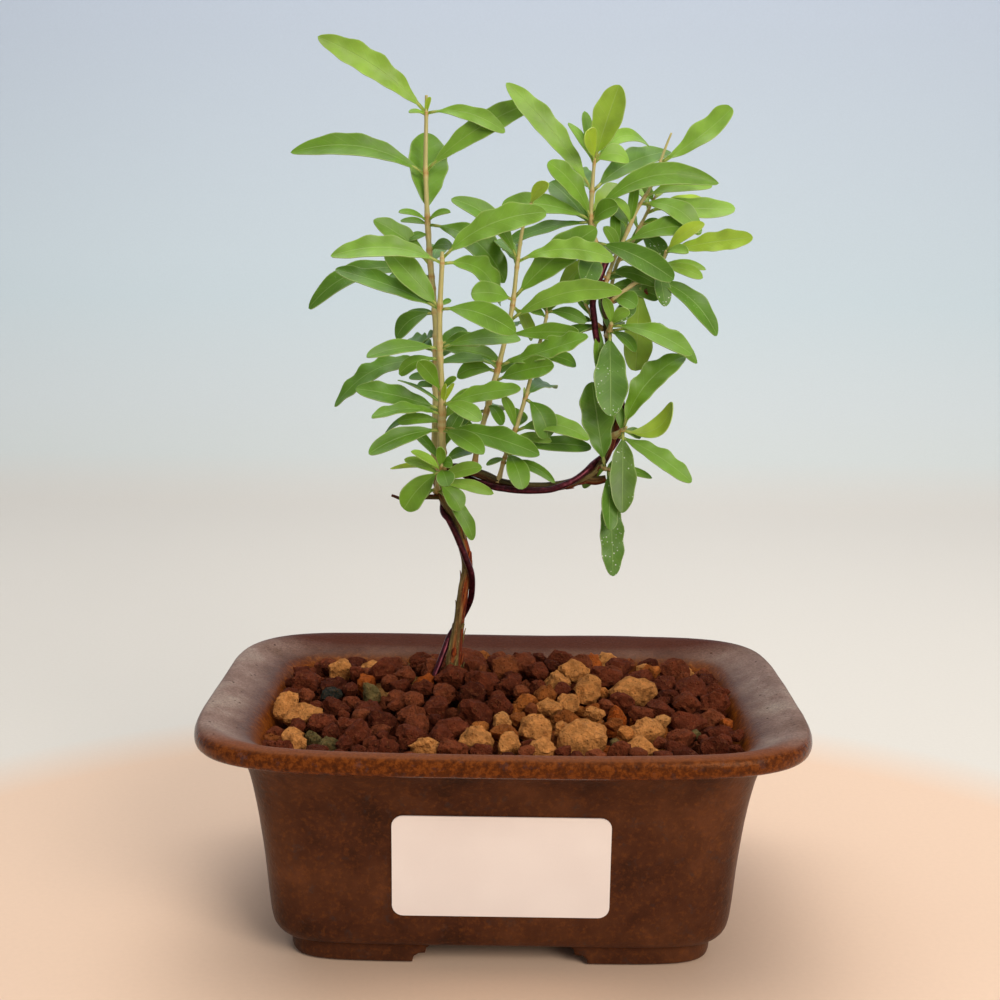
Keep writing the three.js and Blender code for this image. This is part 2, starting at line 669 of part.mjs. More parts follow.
// Half depth of the pot's outer wall at a height, between the rows of its profile.
function wallDepth(z) {
  const above = POT_OUTSIDE.findIndex((row) => row[2] > z);
  const [, low, lowZ] = POT_OUTSIDE[above - 1];
  const [, high, highZ] = POT_OUTSIDE[above];
  return low + ((high - low) * (z - lowZ)) / (highZ - lowZ);
}

function makeLabel() {
  const w = LABEL_WIDTH / 2;
  const h = LABEL_HEIGHT / 2;
  const r = LABEL_CORNER;
  const outline = new THREE.Shape();
  outline.moveTo(-w + r, -h);
  outline.absarc(w - r, -h + r, r, -Math.PI / 2, 0);
  outline.absarc(w - r, h - r, r, 0, Math.PI / 2);
  outline.absarc(-w + r, h - r, r, Math.PI / 2, Math.PI);
  outline.absarc(-w + r, -h + r, r, Math.PI, Math.PI * 1.5);
  const plate = new THREE.ExtrudeGeometry(outline, {
    depth: LABEL_THICKNESS,
    bevelEnabled: false,
    curveSegments: 3,
  });
  const low = wallDepth(LABEL_BOTTOM);
  const high = wallDepth(LABEL_BOTTOM + LABEL_HEIGHT);
  const lean = Math.atan2(high - low, LABEL_HEIGHT);
  plate.rotateX(Math.PI / 2 + lean);
  plate.translate(0, -(low + high) / 2 - GAP, LABEL_BOTTOM + LABEL_HEIGHT / 2);
  return solid(plate);
}

// ---------------------------------------------------------------- wood and wire

function curveThrough(points) {
  return new THREE.CatmullRomCurve3(
    points.map(([x, y, z]) => new THREE.Vector3(x, y, z)),
    false,
    "catmullrom",
    0.5,
  );
}

// The radius at a place along a curve, between the radii of its points.
function radiusAt(points, t) {
  const along = Math.min(Math.max(t, 0), 1) * (points.length - 1);
  const before = Math.min(Math.floor(along), points.length - 2);
  return THREE.MathUtils.lerp(points[before][3], points[before + 1][3], along - before);
}

// The unit vector at right angles to the axis that is nearest to the wanted direction.
function squareTo(axis, wanted) {
  return wanted.clone().addScaledVector(axis, -wanted.dot(axis)).normalize();
}

// The directions across a curve: front is the one nearest to the pot's front.
function across(curve, t) {
  const tangent = curve.getTangent(t);
  const front = squareTo(tangent, FRONT);
  const side = new THREE.Vector3().crossVectors(tangent, front);
  return { front, side };
}

// A round stem: a cylinder bent along its points and as thick as they say, swelled by the spare.
function stemSolid(points, sides, steps, spare = 0) {
  const curve = curveThrough(points);
  const bar = new THREE.CylinderGeometry(1, 1, 1, sides, steps);
  return solid(
    place(bar, (x, y, z) => {
      const t = y + 0.5;
      const { front, side } = across(curve, t);
      const radius = radiusAt(points, t) + spare;
      return curve.getPoint(t).addScaledVector(side, x * radius).addScaledVector(front, z * radius);
    }),
  );
}

function woodSolid(spare) {
  const twigs = [CUT_STUB, CUT_LIMB, DEAD_TWIG].map((points) => {
    return stemSolid(points, TWIG_SIDES, TWIG_STEPS, spare);
  });
  return union([stemSolid(TRUNK, TRUNK_SIDES, TRUNK_STEPS, spare), ...twigs]);
}

// The wire's turns at a place along the wood, between the rows of its list.
function wireTurn(t) {
  const above = Math.max(1, WIRE_TURNS.findIndex((row) => row[0] >= t));
  const [lowT, low] = WIRE_TURNS[above - 1];
  const [highT, high] = WIRE_TURNS[above];
  return THREE.MathUtils.lerp(low, high, (t - lowT) / (highT - lowT));
}

// The wire's own centre line: it stands off the wood by the two radii and the gap.
function wirePoint(curve, t) {
  const angle = wireTurn(t) * 2 * Math.PI;
  const { front, side } = across(curve, t);
  const off = radiusAt(TRUNK, t) + WIRE_RADIUS + GAP;
  return curve
    .getPoint(t)
    .addScaledVector(front, Math.cos(angle) * off)
    .addScaledVector(side, -Math.sin(angle) * off);
}

function wireSolid(spare) {
  const wood = curveThrough(TRUNK);
  const start = WIRE_TURNS[0][0];
  const end = WIRE_TURNS[WIRE_TURNS.length - 1][0];
  const winding = wirePoint(wood, start);
  const points = [];
  for (let i = 0; i < WIRE_FOOT_STEPS; i += 1) {
    points.push(WIRE_FOOT.clone().lerp(winding, i / WIRE_FOOT_STEPS));
  }
  for (let i = 0; i <= WIRE_STEPS; i += 1) {
    points.push(wirePoint(wood, THREE.MathUtils.lerp(start, end, i / WIRE_STEPS)));
  }
  const last = points[points.length - 1];
  const loose = curveThrough([[last.x, last.y, last.z], ...WIRE_END]);
  for (let i = 1; i <= LOOSE_STEPS; i += 1) {
    points.push(loose.getPoint(i / LOOSE_STEPS));
  }
  const rows = points.map(({ x, y, z }) => [x, y, z, WIRE_RADIUS]);
  return stemSolid(rows, WIRE_SIDES, rows.length - 1, spare);
}

// ---------------------------------------------------------------- leaves

// A leaf from the middle of its stem to its tip. It faces up and to the front, turned by its roll.
function leafSolid(middle, stemRadius, [, x, y, z, width, arch, roll]) {
  const small = width < LEAFLET_WIDTH;
  const spread = width * LEAF_SPREAD;
  const rows = small ? LEAFLET_ROWS : LEAF_ROWS;
  const tip = new THREE.Vector3(x, y, z);
  const forward = tip.clone().sub(middle).normalize();
  const start = middle.clone().addScaledVector(forward, stemRadius * LEAF_ROOT);
  const run = tip.clone().sub(start);
  const up = squareTo(forward, LEAF_UP);
  const normal = squareTo(forward, LEAF_FACING);
  normal.applyAxisAngle(forward, THREE.MathUtils.degToRad(roll));
  const side = new THREE.Vector3().crossVectors(normal, forward);

  // A point of a row: across is -1 at the left margin and 1 at the right, lift is 1 on top.
  const point = ([s, halfWidth, thickness], index, across, lift) => {
    const wave = (small ? 0 : LEAF_WAVE) * across * (index % 2 === 0 ? 1 : -1);
    const rise = Math.abs(across) * halfWidth * (LEAF_CUP * spread + wave);
    return start
      .clone()
      .addScaledVector(run, s)
      .addScaledVector(up, arch * 4 * s * (1 - s))
      .addScaledVector(side, (across * spread * halfWidth) / 2)
      .addScaledVector(normal, rise + (lift * thickness * LEAF_RIB) / 2);
  };

  // Four corners a row: left margin, rib on top, right margin, rib below. Both faces split alike.
  const corners = rows.flatMap((row, index) => [
    point(row, index, -1, 0),
    point(row, index, 0, 1),
    point(row, index, 1, 0),
    point(row, index, 0, -1),
  ]);
  const faces = [0, 1, 2, 0, 2, 3];
  for (let row = 0; row < rows.length - 1; row += 1) {
    const [left, top, right, under] = [0, 1, 2, 3].map((corner) => row * 4 + corner);
    faces.push(left, top + 4, top, left, left + 4, top + 4);
    faces.push(right, top, top + 4, right, top + 4, right + 4);
    faces.push(left, under, under + 4, left, under + 4, left + 4);
    faces.push(right, under + 4, under, right, right + 4, under + 4);
  }
  const blade = new THREE.BufferGeometry().setFromPoints(corners);
  blade.setIndex(faces);
  return solid(blade);
}

// A leafy stem: its leaves fused to it, and all of it clear of the wood and the wire.
function shootSolid({ stem, leaves }, keepClear) {
  const curve = curveThrough(stem);
  const blades = leaves.map((leaf) => {
    return leafSolid(curve.getPoint(leaf[0]), radiusAt(stem, leaf[0]), leaf);
  });
  const bare = stemSolid(stem, STEM_SIDES, stem.length);
  return largest(union([bare, ...blades]).subtract(keepClear));
}

// A shoot's green: the mean of its leaves' tones.
function shootColor({ leaves }) {
  const tones = leaves.map((leaf) => leaf[7] / OLDEST_TONE);
  const mean = tones.reduce((sum, tone) => sum + tone, 0) / tones.length;
  return new THREE.Color(YOUNG_GREEN).lerp(new THREE.Color(OLD_GREEN), mean);
}

// ---------------------------------------------------------------- soil

// A steady stream of numbers from 0 to 1, the same for the same seed.
function dice(seed) {
  let state = seed;
  return () => {
    state = (state * 16807) % 2147483647;
    return state / 2147483647;
  };
}

// Height of the soil's bed: low at the wall, a mound round its peak.
function soilTop(x, y) {
  const [peakX, peakY] = SOIL_PEAK;
  const spreadY = y > peakY ? SOIL_SPREAD.back : SOIL_SPREAD.front;
  const far = ((x - peakX) / SOIL_SPREAD.x) ** 2 + ((y - peakY) / spreadY) ** 2;
  return SOIL_EDGE + SOIL_MOUND * Math.exp(-far);
}

// The bed fills the pot to the wall, less the gap, and its top follows the mound.
function soilBed() {
  const spare = GAP + 0.1;
  const wall = POT_INSIDE.slice(0, 3).map(([a, b, z, n]) => [a - spare, b - spare, z + spare, n]);
  const [edgeA, edgeB, , edgeSquareness] = POT_INSIDE[3];
  const edge = [edgeA - spare - 0.2, edgeB - spare - 0.2, 0, edgeSquareness];
  const rings = [1, 0.7, 0.35];
  const bed = new THREE.CylinderGeometry(1, 1, 1, POT_SIDES, wall.length + rings.length - 1);
  return solid(
    place(bed, (x, y, z) => {
      const row = Math.round((y + 0.5) * (wall.length + rings.length - 1));
      const reach = Math.hypot(x, z) > 0.5 ? 1 : 0;
      const angle = Math.atan2(-z, x);
      if (row < wall.length) return softRectangle(wall[row], angle, reach);
      const point = softRectangle(edge, angle, reach * rings[row - wall.length]);
      point.z = soilTop(point.x, point.y) - (rings[row - wall.length] === 1 ? 0.5 : 0);
      return point;
    }),
  );
}

// Where the grains lie: a staggered net over the bed, each place nudged, with its size.
function grainPlaces() {
  const roll = dice(GRAIN_SEED);
  const places = [];
  const rowPitch = GRAIN_PITCH * Math.sqrt(0.75);
  const [edgeA, edgeB, , squareness] = POT_INSIDE[3];
  const [reachA, reachB] = [edgeA - GRAIN_INSET, edgeB - GRAIN_INSET];
  for (let row = -4; row <= 4; row += 1) {
    for (let column = -6; column <= 6; column += 1) {
      const x = (column + (row % 2 === 0 ? 0 : 0.5)) * GRAIN_PITCH + (roll() - 0.5) * 2.4;
      const y = row * rowPitch + (roll() - 0.5) * 2.4;
      const size = GRAIN_RADIUS * (0.85 + 0.35 * roll());
      const turn = roll() * Math.PI;
      const far = Math.abs(x / reachA) ** squareness + Math.abs(y / reachB) ** squareness;
      if (far < 1) places.push({ x, y, size, turn });
    }
  }
  return places;
}

function inTanPatch(x, y) {
  const { x: midX, y: midY, halfWidth, halfDepth } = TAN_PATCH;
  return ((x - midX) / halfWidth) ** 2 + ((y - midY) / halfDepth) ** 2 < 1;
}

// A grain is a rough lump with eight corners, each nudged, a little flattened and turned.
function grainSolid({ x, y, size, turn }) {
  const lump = new THREE.BoxGeometry(size * 1.5, size * 1.3, size * 1.1);
  const roll = dice(Math.round(size * turn * 10000));
  const nudges = new Map();
  place(lump, (px, py, pz) => {
    const corner = [px, py, pz].map(Math.sign).join();
    if (!nudges.has(corner)) nudges.set(corner, [roll(), roll(), roll()]);
    const [u, v, w] = nudges.get(corner);
    return new THREE.Vector3(px * (0.7 + 0.45 * u), py * (0.7 + 0.45 * v), pz * (0.75 + 0.4 * w));
  });
  lump.rotateX((turn - 1.5) * 0.25);
  lump.rotateZ(turn);
  lump.translate(x, y, soilTop(x, y));
  return solid(lump);
}

// An upright bar of the tan patch's outline, wider by the spare, from its floor upwards.
function tanPatchBar(spare) {
  const { x, y, halfWidth, halfDepth, depth } = TAN_PATCH;
  const bar = new THREE.CylinderGeometry(1, 1, 30, 20);
  bar.rotateX(Math.PI / 2);
  bar.scale(halfWidth + spare, halfDepth + spare, 1);
  bar.translate(x, y, SOIL_EDGE - depth + 15 - spare);
  return solid(bar);
}

function makeSoil(keepClear, meshes) {
  const grains = grainPlaces();
  const tan = grains.filter(({ x, y }) => inTanPatch(x, y));
  const red = grains.filter(({ x, y }) => !inTanPatch(x, y));
  const bed = soilBed();
  const clearance = meshes.map((x) => {
    const side = MESH_SQUARE + 2 * GAP;
    const box = new THREE.BoxGeometry(side, side, 4);
    box.translate(x, 0, POT_FLOOR_TOP + MESH_THICKNESS + 2 * GAP - 2);
    return solid(box);
  });
  const redSoil = union([bed, ...red.map(grainSolid)])
    .subtract(tanPatchBar(GAP))
    .subtract(union(clearance));
  const tanSoil = union([bed, ...tan.map(grainSolid)]).intersect(tanPatchBar(0));
  return {
    red: largest(redSoil.subtract(keepClear)),
    tan: largest(tanSoil.subtract(keepClear)),
  };
}

// ---------------------------------------------------------------- the bonsai

const bonsai = new THREE.Group();
const wood = woodSolid(0);
const wire = wireSolid(0);
const clearOfWood = woodSolid(GAP + 0.1).add(wireSolid(GAP + 0.1));
const soil = makeSoil(clearOfWood, [-DRAIN_X, DRAIN_X]);

bonsai.add(
  meshOf("pot", makePot(), { color: 0x4e2d1e, roughness: 0.35 }),
  meshOf("drain_mesh_left", makeDrainMesh(-DRAIN_X), { color: 0x2c2f2c, roughness: 0.6 }),
  meshOf("drain_mesh_right", makeDrainMesh(DRAIN_X), { color: 0x2c2f2c, roughness: 0.6 }),
  meshOf("label", makeLabel(), { color: 0xe9dad1, roughness: 0.7 }),
  meshOf("soil_red_grains", soil.red, { color: 0x6e3d28, roughness: 0.95 }),
  meshOf("soil_tan_grains", soil.tan, { color: 0xb58048, roughness: 0.95 }),
  meshOf("trunk", wood, { color: 0x7a5a3a, roughness: 0.8 }),
  meshOf("training_wire", wire, { color: 0x3a1820, roughness: 0.3, metalness: 0.8 }),
);

for (const [name, shoot] of Object.entries(SHOOTS)) {
  const look = { color: shootColor(shoot), roughness: 0.5 };
  bonsai.add(meshOf(name, shootSolid(shoot, clearOfWood), look));
}

export default bonsai;
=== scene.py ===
"""A young pomegranate trained as a bonsai, in a soft-rectangular glazed clay pot.

Shapes are worked out in millimetres and scaled to metres as each piece is finished.
+Z is up and the front of the pot is towards -Y.
"""
import math
import random
from functools import partial

import bmesh
import bpy
from mathutils import Matrix, Quaternion, Vector, noise


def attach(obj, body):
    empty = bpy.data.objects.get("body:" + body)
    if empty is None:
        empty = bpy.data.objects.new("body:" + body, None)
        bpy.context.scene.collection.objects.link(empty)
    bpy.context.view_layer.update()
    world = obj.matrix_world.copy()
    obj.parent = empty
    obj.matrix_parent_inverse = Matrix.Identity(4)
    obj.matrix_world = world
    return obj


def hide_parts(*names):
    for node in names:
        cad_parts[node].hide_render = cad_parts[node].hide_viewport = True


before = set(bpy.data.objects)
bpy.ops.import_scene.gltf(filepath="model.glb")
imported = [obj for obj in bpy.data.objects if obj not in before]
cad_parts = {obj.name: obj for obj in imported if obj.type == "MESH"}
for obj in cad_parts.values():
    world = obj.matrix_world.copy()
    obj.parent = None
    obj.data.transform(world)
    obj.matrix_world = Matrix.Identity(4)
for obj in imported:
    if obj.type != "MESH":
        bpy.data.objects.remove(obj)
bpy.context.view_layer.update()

MM = 0.001
TAU = 2 * math.pi

# ---------------------------------------------------------------- sizes of the pot

# The pot's level sections are soft rectangles: [half width, half depth, height, squareness].
POT_OUTSIDE = [
    [0, 0, 5, 8], [44, 28, 5, 8], [51, 34.4, 5, 8], [52.6, 35.6, 5.3, 8], [54.4, 36.6, 7.5, 8],
    [55, 36.9, 10, 8], [55.4, 37.2, 14, 8], [56.4, 38, 26, 8], [58.2, 39.6, 39, 8],
    [60.2, 42.3, 48, 7.5], [63.4, 46, 51.6, 6.4], [67, 50, 52.7, 5.6], [71.3, 54.7, 53, 5.2],
    [72.1, 55.5, 55.3, 5.2], [71.2, 54.6, 57.7, 5.2], [69.4, 52.8, 58, 5.2],
]
POT_INSIDE = [
    [68, 51.2, 57.8, 5.2], [63.5, 46.6, 55.9, 6], [59, 42, 54, 7], [56.4, 39.2, 50, 7.5],
    [54.5, 37.4, 44, 8], [52.8, 35.6, 38, 8], [49.6, 32.8, 14, 8], [46.5, 30, 10, 8],
    [40, 25, 10, 8], [0, 0, 10, 8],
]
FOOT_RING = [
    [50.6, 34.2, 7.5, 8], [50.6, 34.2, 1, 8], [49.8, 33.4, 0, 8], [43, 27, 0, 8],
    [42, 26, 0.8, 6], [42, 26, 7.5, 6],
]
POT_STEPS = 144  # round the pot
POT_UNDERSIDE = 5.1  # below this height its outside runs level
FOOT_GAP_FRONT = 20.5  # half widths of the openings between the feet
FOOT_GAP_SIDE = 15
# Half of an opening's outline, from its outer end: [x, z]. It steps in twice, like a cloud.
FOOT_GAP_EDGE = [
    [0, -1], [0, 0.6], [0.35, 1.9], [1.4, 2.65], [3, 2.8], [3.3, 4.1], [4.8, 5.2], [8, 5.6],
]
DRAIN_X = 24
DRAIN_RADIUS = 6
DRAIN_CUT = (8, 12)  # middle height and length of the bar that cuts a drain hole
RIM_SAG = 0.7  # how much lower the fired rim hangs at the middle of its long sides
RIM_SAG_HEIGHTS = (46, 54)  # where the sag sets in and where it is full
RIM_SAG_REACH = 68  # how far from the middle it has died out
POT_DENTS = [(19, 0.14), (6, 0.04)]  # width and depth of the dents of a hand-pressed wall
DENTS_AT = 60  # how far from the middle they are that deep
POT_INSET = 0.12  # keeps the swellings between them within the pot's size

# Zones of the glaze, with the heights at which each starts and is full. The slope goes up over the rim.
POT_ZONES = ("lip", "slope", "inner", "bare")
LIP_HEIGHTS = (52.4, 53.4)
RIM_TOP_HEIGHTS = (57.2, 57.8)
SLOPE_HEIGHTS = (54, 56.5)
INNER_HEIGHTS = (54.6, 52.6)
BARE_CLAY_TOP = 0.25

LABEL_WIDTH = 50
LABEL_HEIGHT = 25
LABEL_BOTTOM = 13.5
LABEL_CORNER = 2.6
LABEL_THICKNESS = 0.4
LABEL_PROUD = 0.42  # from the wall to the label's front
LABEL_BANDS = 10  # level bands that follow the leaning wall

# ---------------------------------------------------------------- sizes of the wood and wire

# Each point is [x, y, z, radius].
TRUNK = [
    [-13, 12, 50, 2.6], [-13, 12, 56.5, 2.4], [-12.7, 12, 61.5, 1.9], [-11.5, 12, 71.5, 1.45],
    [-10.5, 11, 79.5, 1.35], [-9.5, 10, 86, 1.35], [-10.9, 9, 93, 1.4], [-12.9, 8, 99.5, 1.45],
    [-15.7, 8, 104.5, 1.5], [-16.5, 8, 108.5, 1.5], [-13, 7, 111.3, 1.25], [-6, 5, 110, 1.15],
    [-1, 3, 108.3, 1.15], [6, 2, 107.6, 1.15], [13.5, 2, 108.1, 1.1], [20.5, 3, 110.5, 1.05],
    [23.8, 4, 113.7, 0.95], [26, 5, 119, 0.9], [27, 6, 126, 0.9], [26, 8, 135, 0.9],
    [24.7, 9, 143.5, 0.9], [23.9, 10, 151, 0.9], [22.8, 11, 158, 0.9],
]
CUT_STUB = [[19, 3, 109.6, 1.1], [22, 2.5, 109.3, 1.1], [24.5, 2.5, 109.8, 0.9]]
CUT_LIMB = [[24, 10.2, 152.5, 1], [28, 11, 153.9, 1.1], [31, 11, 154.7, 1.2], [34.2, 10.5, 155.4, 1.25]]
DEAD_TWIG = [[-15.5, 8, 104, 0.8], [-20, 7, 104, 0.6], [-25, 6, 103.5, 0.5], [-28.5, 6, 104.5, 0.35]]
WIRE_RADIUS = 0.8
WIRE_SIDES = 12
WIRE_STEPS = 300
# Points of its route: on the way to the trunk, round the wood, and where it stands off.
RISING_POINTS, WINDING_POINTS, LOOSE_POINTS = 10, 110, 18
WIRE_FOOT = Vector((-19.5, 7, 52.5))
# Each row is [place along the wood 0..1, turns completed].
WIRE_TURNS = [
    [0.105, 0.27], [0.13, 0.5], [0.175, 0.75], [0.24, 1], [0.29, 1.08], [0.32, 1.14], [0.345, 1.4],
    [0.37, 1.5], [0.4, 1.52], [0.46, 1.56], [0.5, 1.8], [0.55, 1.92], [0.62, 1.97], [0.66, 2.08],
    [0.7, 2.25], [0.75, 2.5], [0.805, 2.75], [0.85, 3], [0.885, 3.2],
]
# The wire's upper end stands off the wood.
WIRE_END = [
    [21.7, 7, 143.7], [20.9, 6, 148.9], [20.5, 6, 153.1], [21.9, 6, 158.1], [23.1, 7, 161.3],
    [23.8, 8, 162.8],
]

# How far the bark is drawn darker at places along the wood, as painted shade where it runs under the leaves.
BARK_SHADE = [
    [0, 0], [0.25, 0], [0.3, 0.45], [0.35, 0.2], [0.42, 0.15], [0.46, 0.9], [0.64, 0.95], [0.69, 0.45],
    [0.76, 0.3], [0.81, 0.8], [1, 0.8],
]
# The small limbs get the same painted shade all along.
LIMB_SHADE = [[0, 0.7], [1, 0.7]]
# Each limb's points, sides, steps along it, seed of its unevenness, and painted shade.
LIMBS = [
    [TRUNK, 26, 230, 1, BARK_SHADE], [CUT_STUB, 12, 14, 5, LIMB_SHADE],
    [CUT_LIMB, 12, 20, 7, LIMB_SHADE], [DEAD_TWIG, 8, 24, 9, LIMB_SHADE],
]
# Unevenness of the wood: how often it changes round the wood, and its length along it.
BARK_STRIPS = (1.5, 13)
WOOD_RIDGES = (1.6, 7)
WOOD_KNOTS = (1, 3.2)
# Shares of the wood's radius.
PEELED_WOOD = 0.93
BARK_RISE = 0.12
RIDGE_RISE = 0.12
KNOT_RISE = 0.07
# How much old bark is left, 0 to 1: half, more or less of it in strips, and less towards the right side.
BARK_LEFT = 0.5
STRIP_CONTRAST = 2
PEELED_SIDE = 1.3
FIBRE_SPREAD = 1.6  # radius at which the bark's fibres are laid out

# Curls of loose bark. Most are low on the trunk, and the others at single places along the wood.
LOW_CURLS = 26
LOW_STRETCH = (0.02, 0.3)
SINGLE_CURLS = (0.5, 0.64, 0.66, 0.7, 0.72)
BRANCH_START = 0.4  # where along the wood the trunk has turned into the side branch
CURL_LENGTH = (1.4, 3.4)
CURL_WIDTH = (0.8, 1.6)
CURL_LIFT = (0.2, 0.75)
CURL_THICKNESS = 0.24
CURL_SINK = 0.97  # its foot is a little inside the bark
CURL_TAPER = 0.35
CURL_ENDS = 0.15  # how wide its closed ends are
CURL_SEED = 5

# ---------------------------------------------------------------- sizes of the leafy stems

LEAF_FACING = Vector((0, -0.84, 0.54))  # where the upper faces turn
LEAF_UP = Vector((0, -0.3, 0.95))  # the way a leaf arches
LEAF_SPREAD = 1.03  # how much wider a blade is than its row says, for what its cup takes away
LEAF_THICKNESS = 0.22
SMALL_LEAF = 3.6  # narrower ones get fewer rows
LEAF_COLUMNS, SMALL_LEAF_ROWS, LEAF_ROWS = 4, 12, 34
LEAF_START = 0.4  # how far from its stem's middle a leaf starts, as a share of the stem's radius
BLADE_FOOT = (0.4, 0.12)  # half width of a blade along its stalk: the most, and a share of its width
SLIM_LEAF = (3.5, 7.5)  # lengths over widths from which leaves count as slim and as fully slim
WAVY_LEAF = 22  # shorter leaves wave less
ROLL_SHARE = 0.6  # how much of its row's roll a leaf gets
SHARP_EDGE = 55  # degrees
STALK_LENGTH = 2.2
LONGEST_STALK = 0.1  # shares of the leaf's length
BUD_STALK = 0.04
BUD_WIDTH = 3  # leaves that are no wider have a bud's stalk
STALK_FADE = 0.06  # length in which the stalk goes over into the rib
RIB_END = 0.9
STALK_RADIUS = (0.24, 0.035)  # least, and what each millimetre of the leaf's width adds
RIB_RADIUS = 0.2
# Ranges of what differs from leaf to leaf. Fullness and bluntness shape the outline towards the stalk and
# towards the tip, and the rest are shares of the width or length, turns in radians, or a wave per mm.
LEAF_FULLNESS = (0.72, 0.96)
LEAF_BLUNTNESS = (0.45, 0.62)
SLIM_BLUNTNESS = 0.16  # what a slim leaf has more
LEAF_CUP = (0.05, 0.14)
LEAF_WAVE = (0.015, 0.085)
LEAF_WAVES = (0.75, 1.25)
LEAF_TWIST = (-0.42, 0.42)
LEAF_DROOP = (0, 0.035)
LEAF_ROLL = (-7, 7)  # degrees
LEAF_TONE = (-0.22, 0.22)
OLDEST_TONE = 4.1
DEAD_TONE = 5
STEM_SIDES = 8
STEM_STEP = 0.7
# Shares of a stem's radius, with the collar at its foot.
STEM_BODY = 0.76
STEM_NODE = 0.22
STEM_COLLAR = 0.6
STEM_RIBS = 0.05
COLLAR_LENGTH = 1.6
NODE_WIDTH = 0.7  # of the ring on a stem where leaves leave it
WOODY_STEM = 0.75  # stems with a thicker foot are riper there
WOODY_RIPENESS = 0.72
YOUNG_RIPENESS = 0.5
TIP_RIPENESS = 0.34
NODE_RIPENESS = 0.34  # what a ring adds
STALK_RIPENESS = (0.3, 0.02)  # at its foot and beyond
SHOOT_SEED = 100
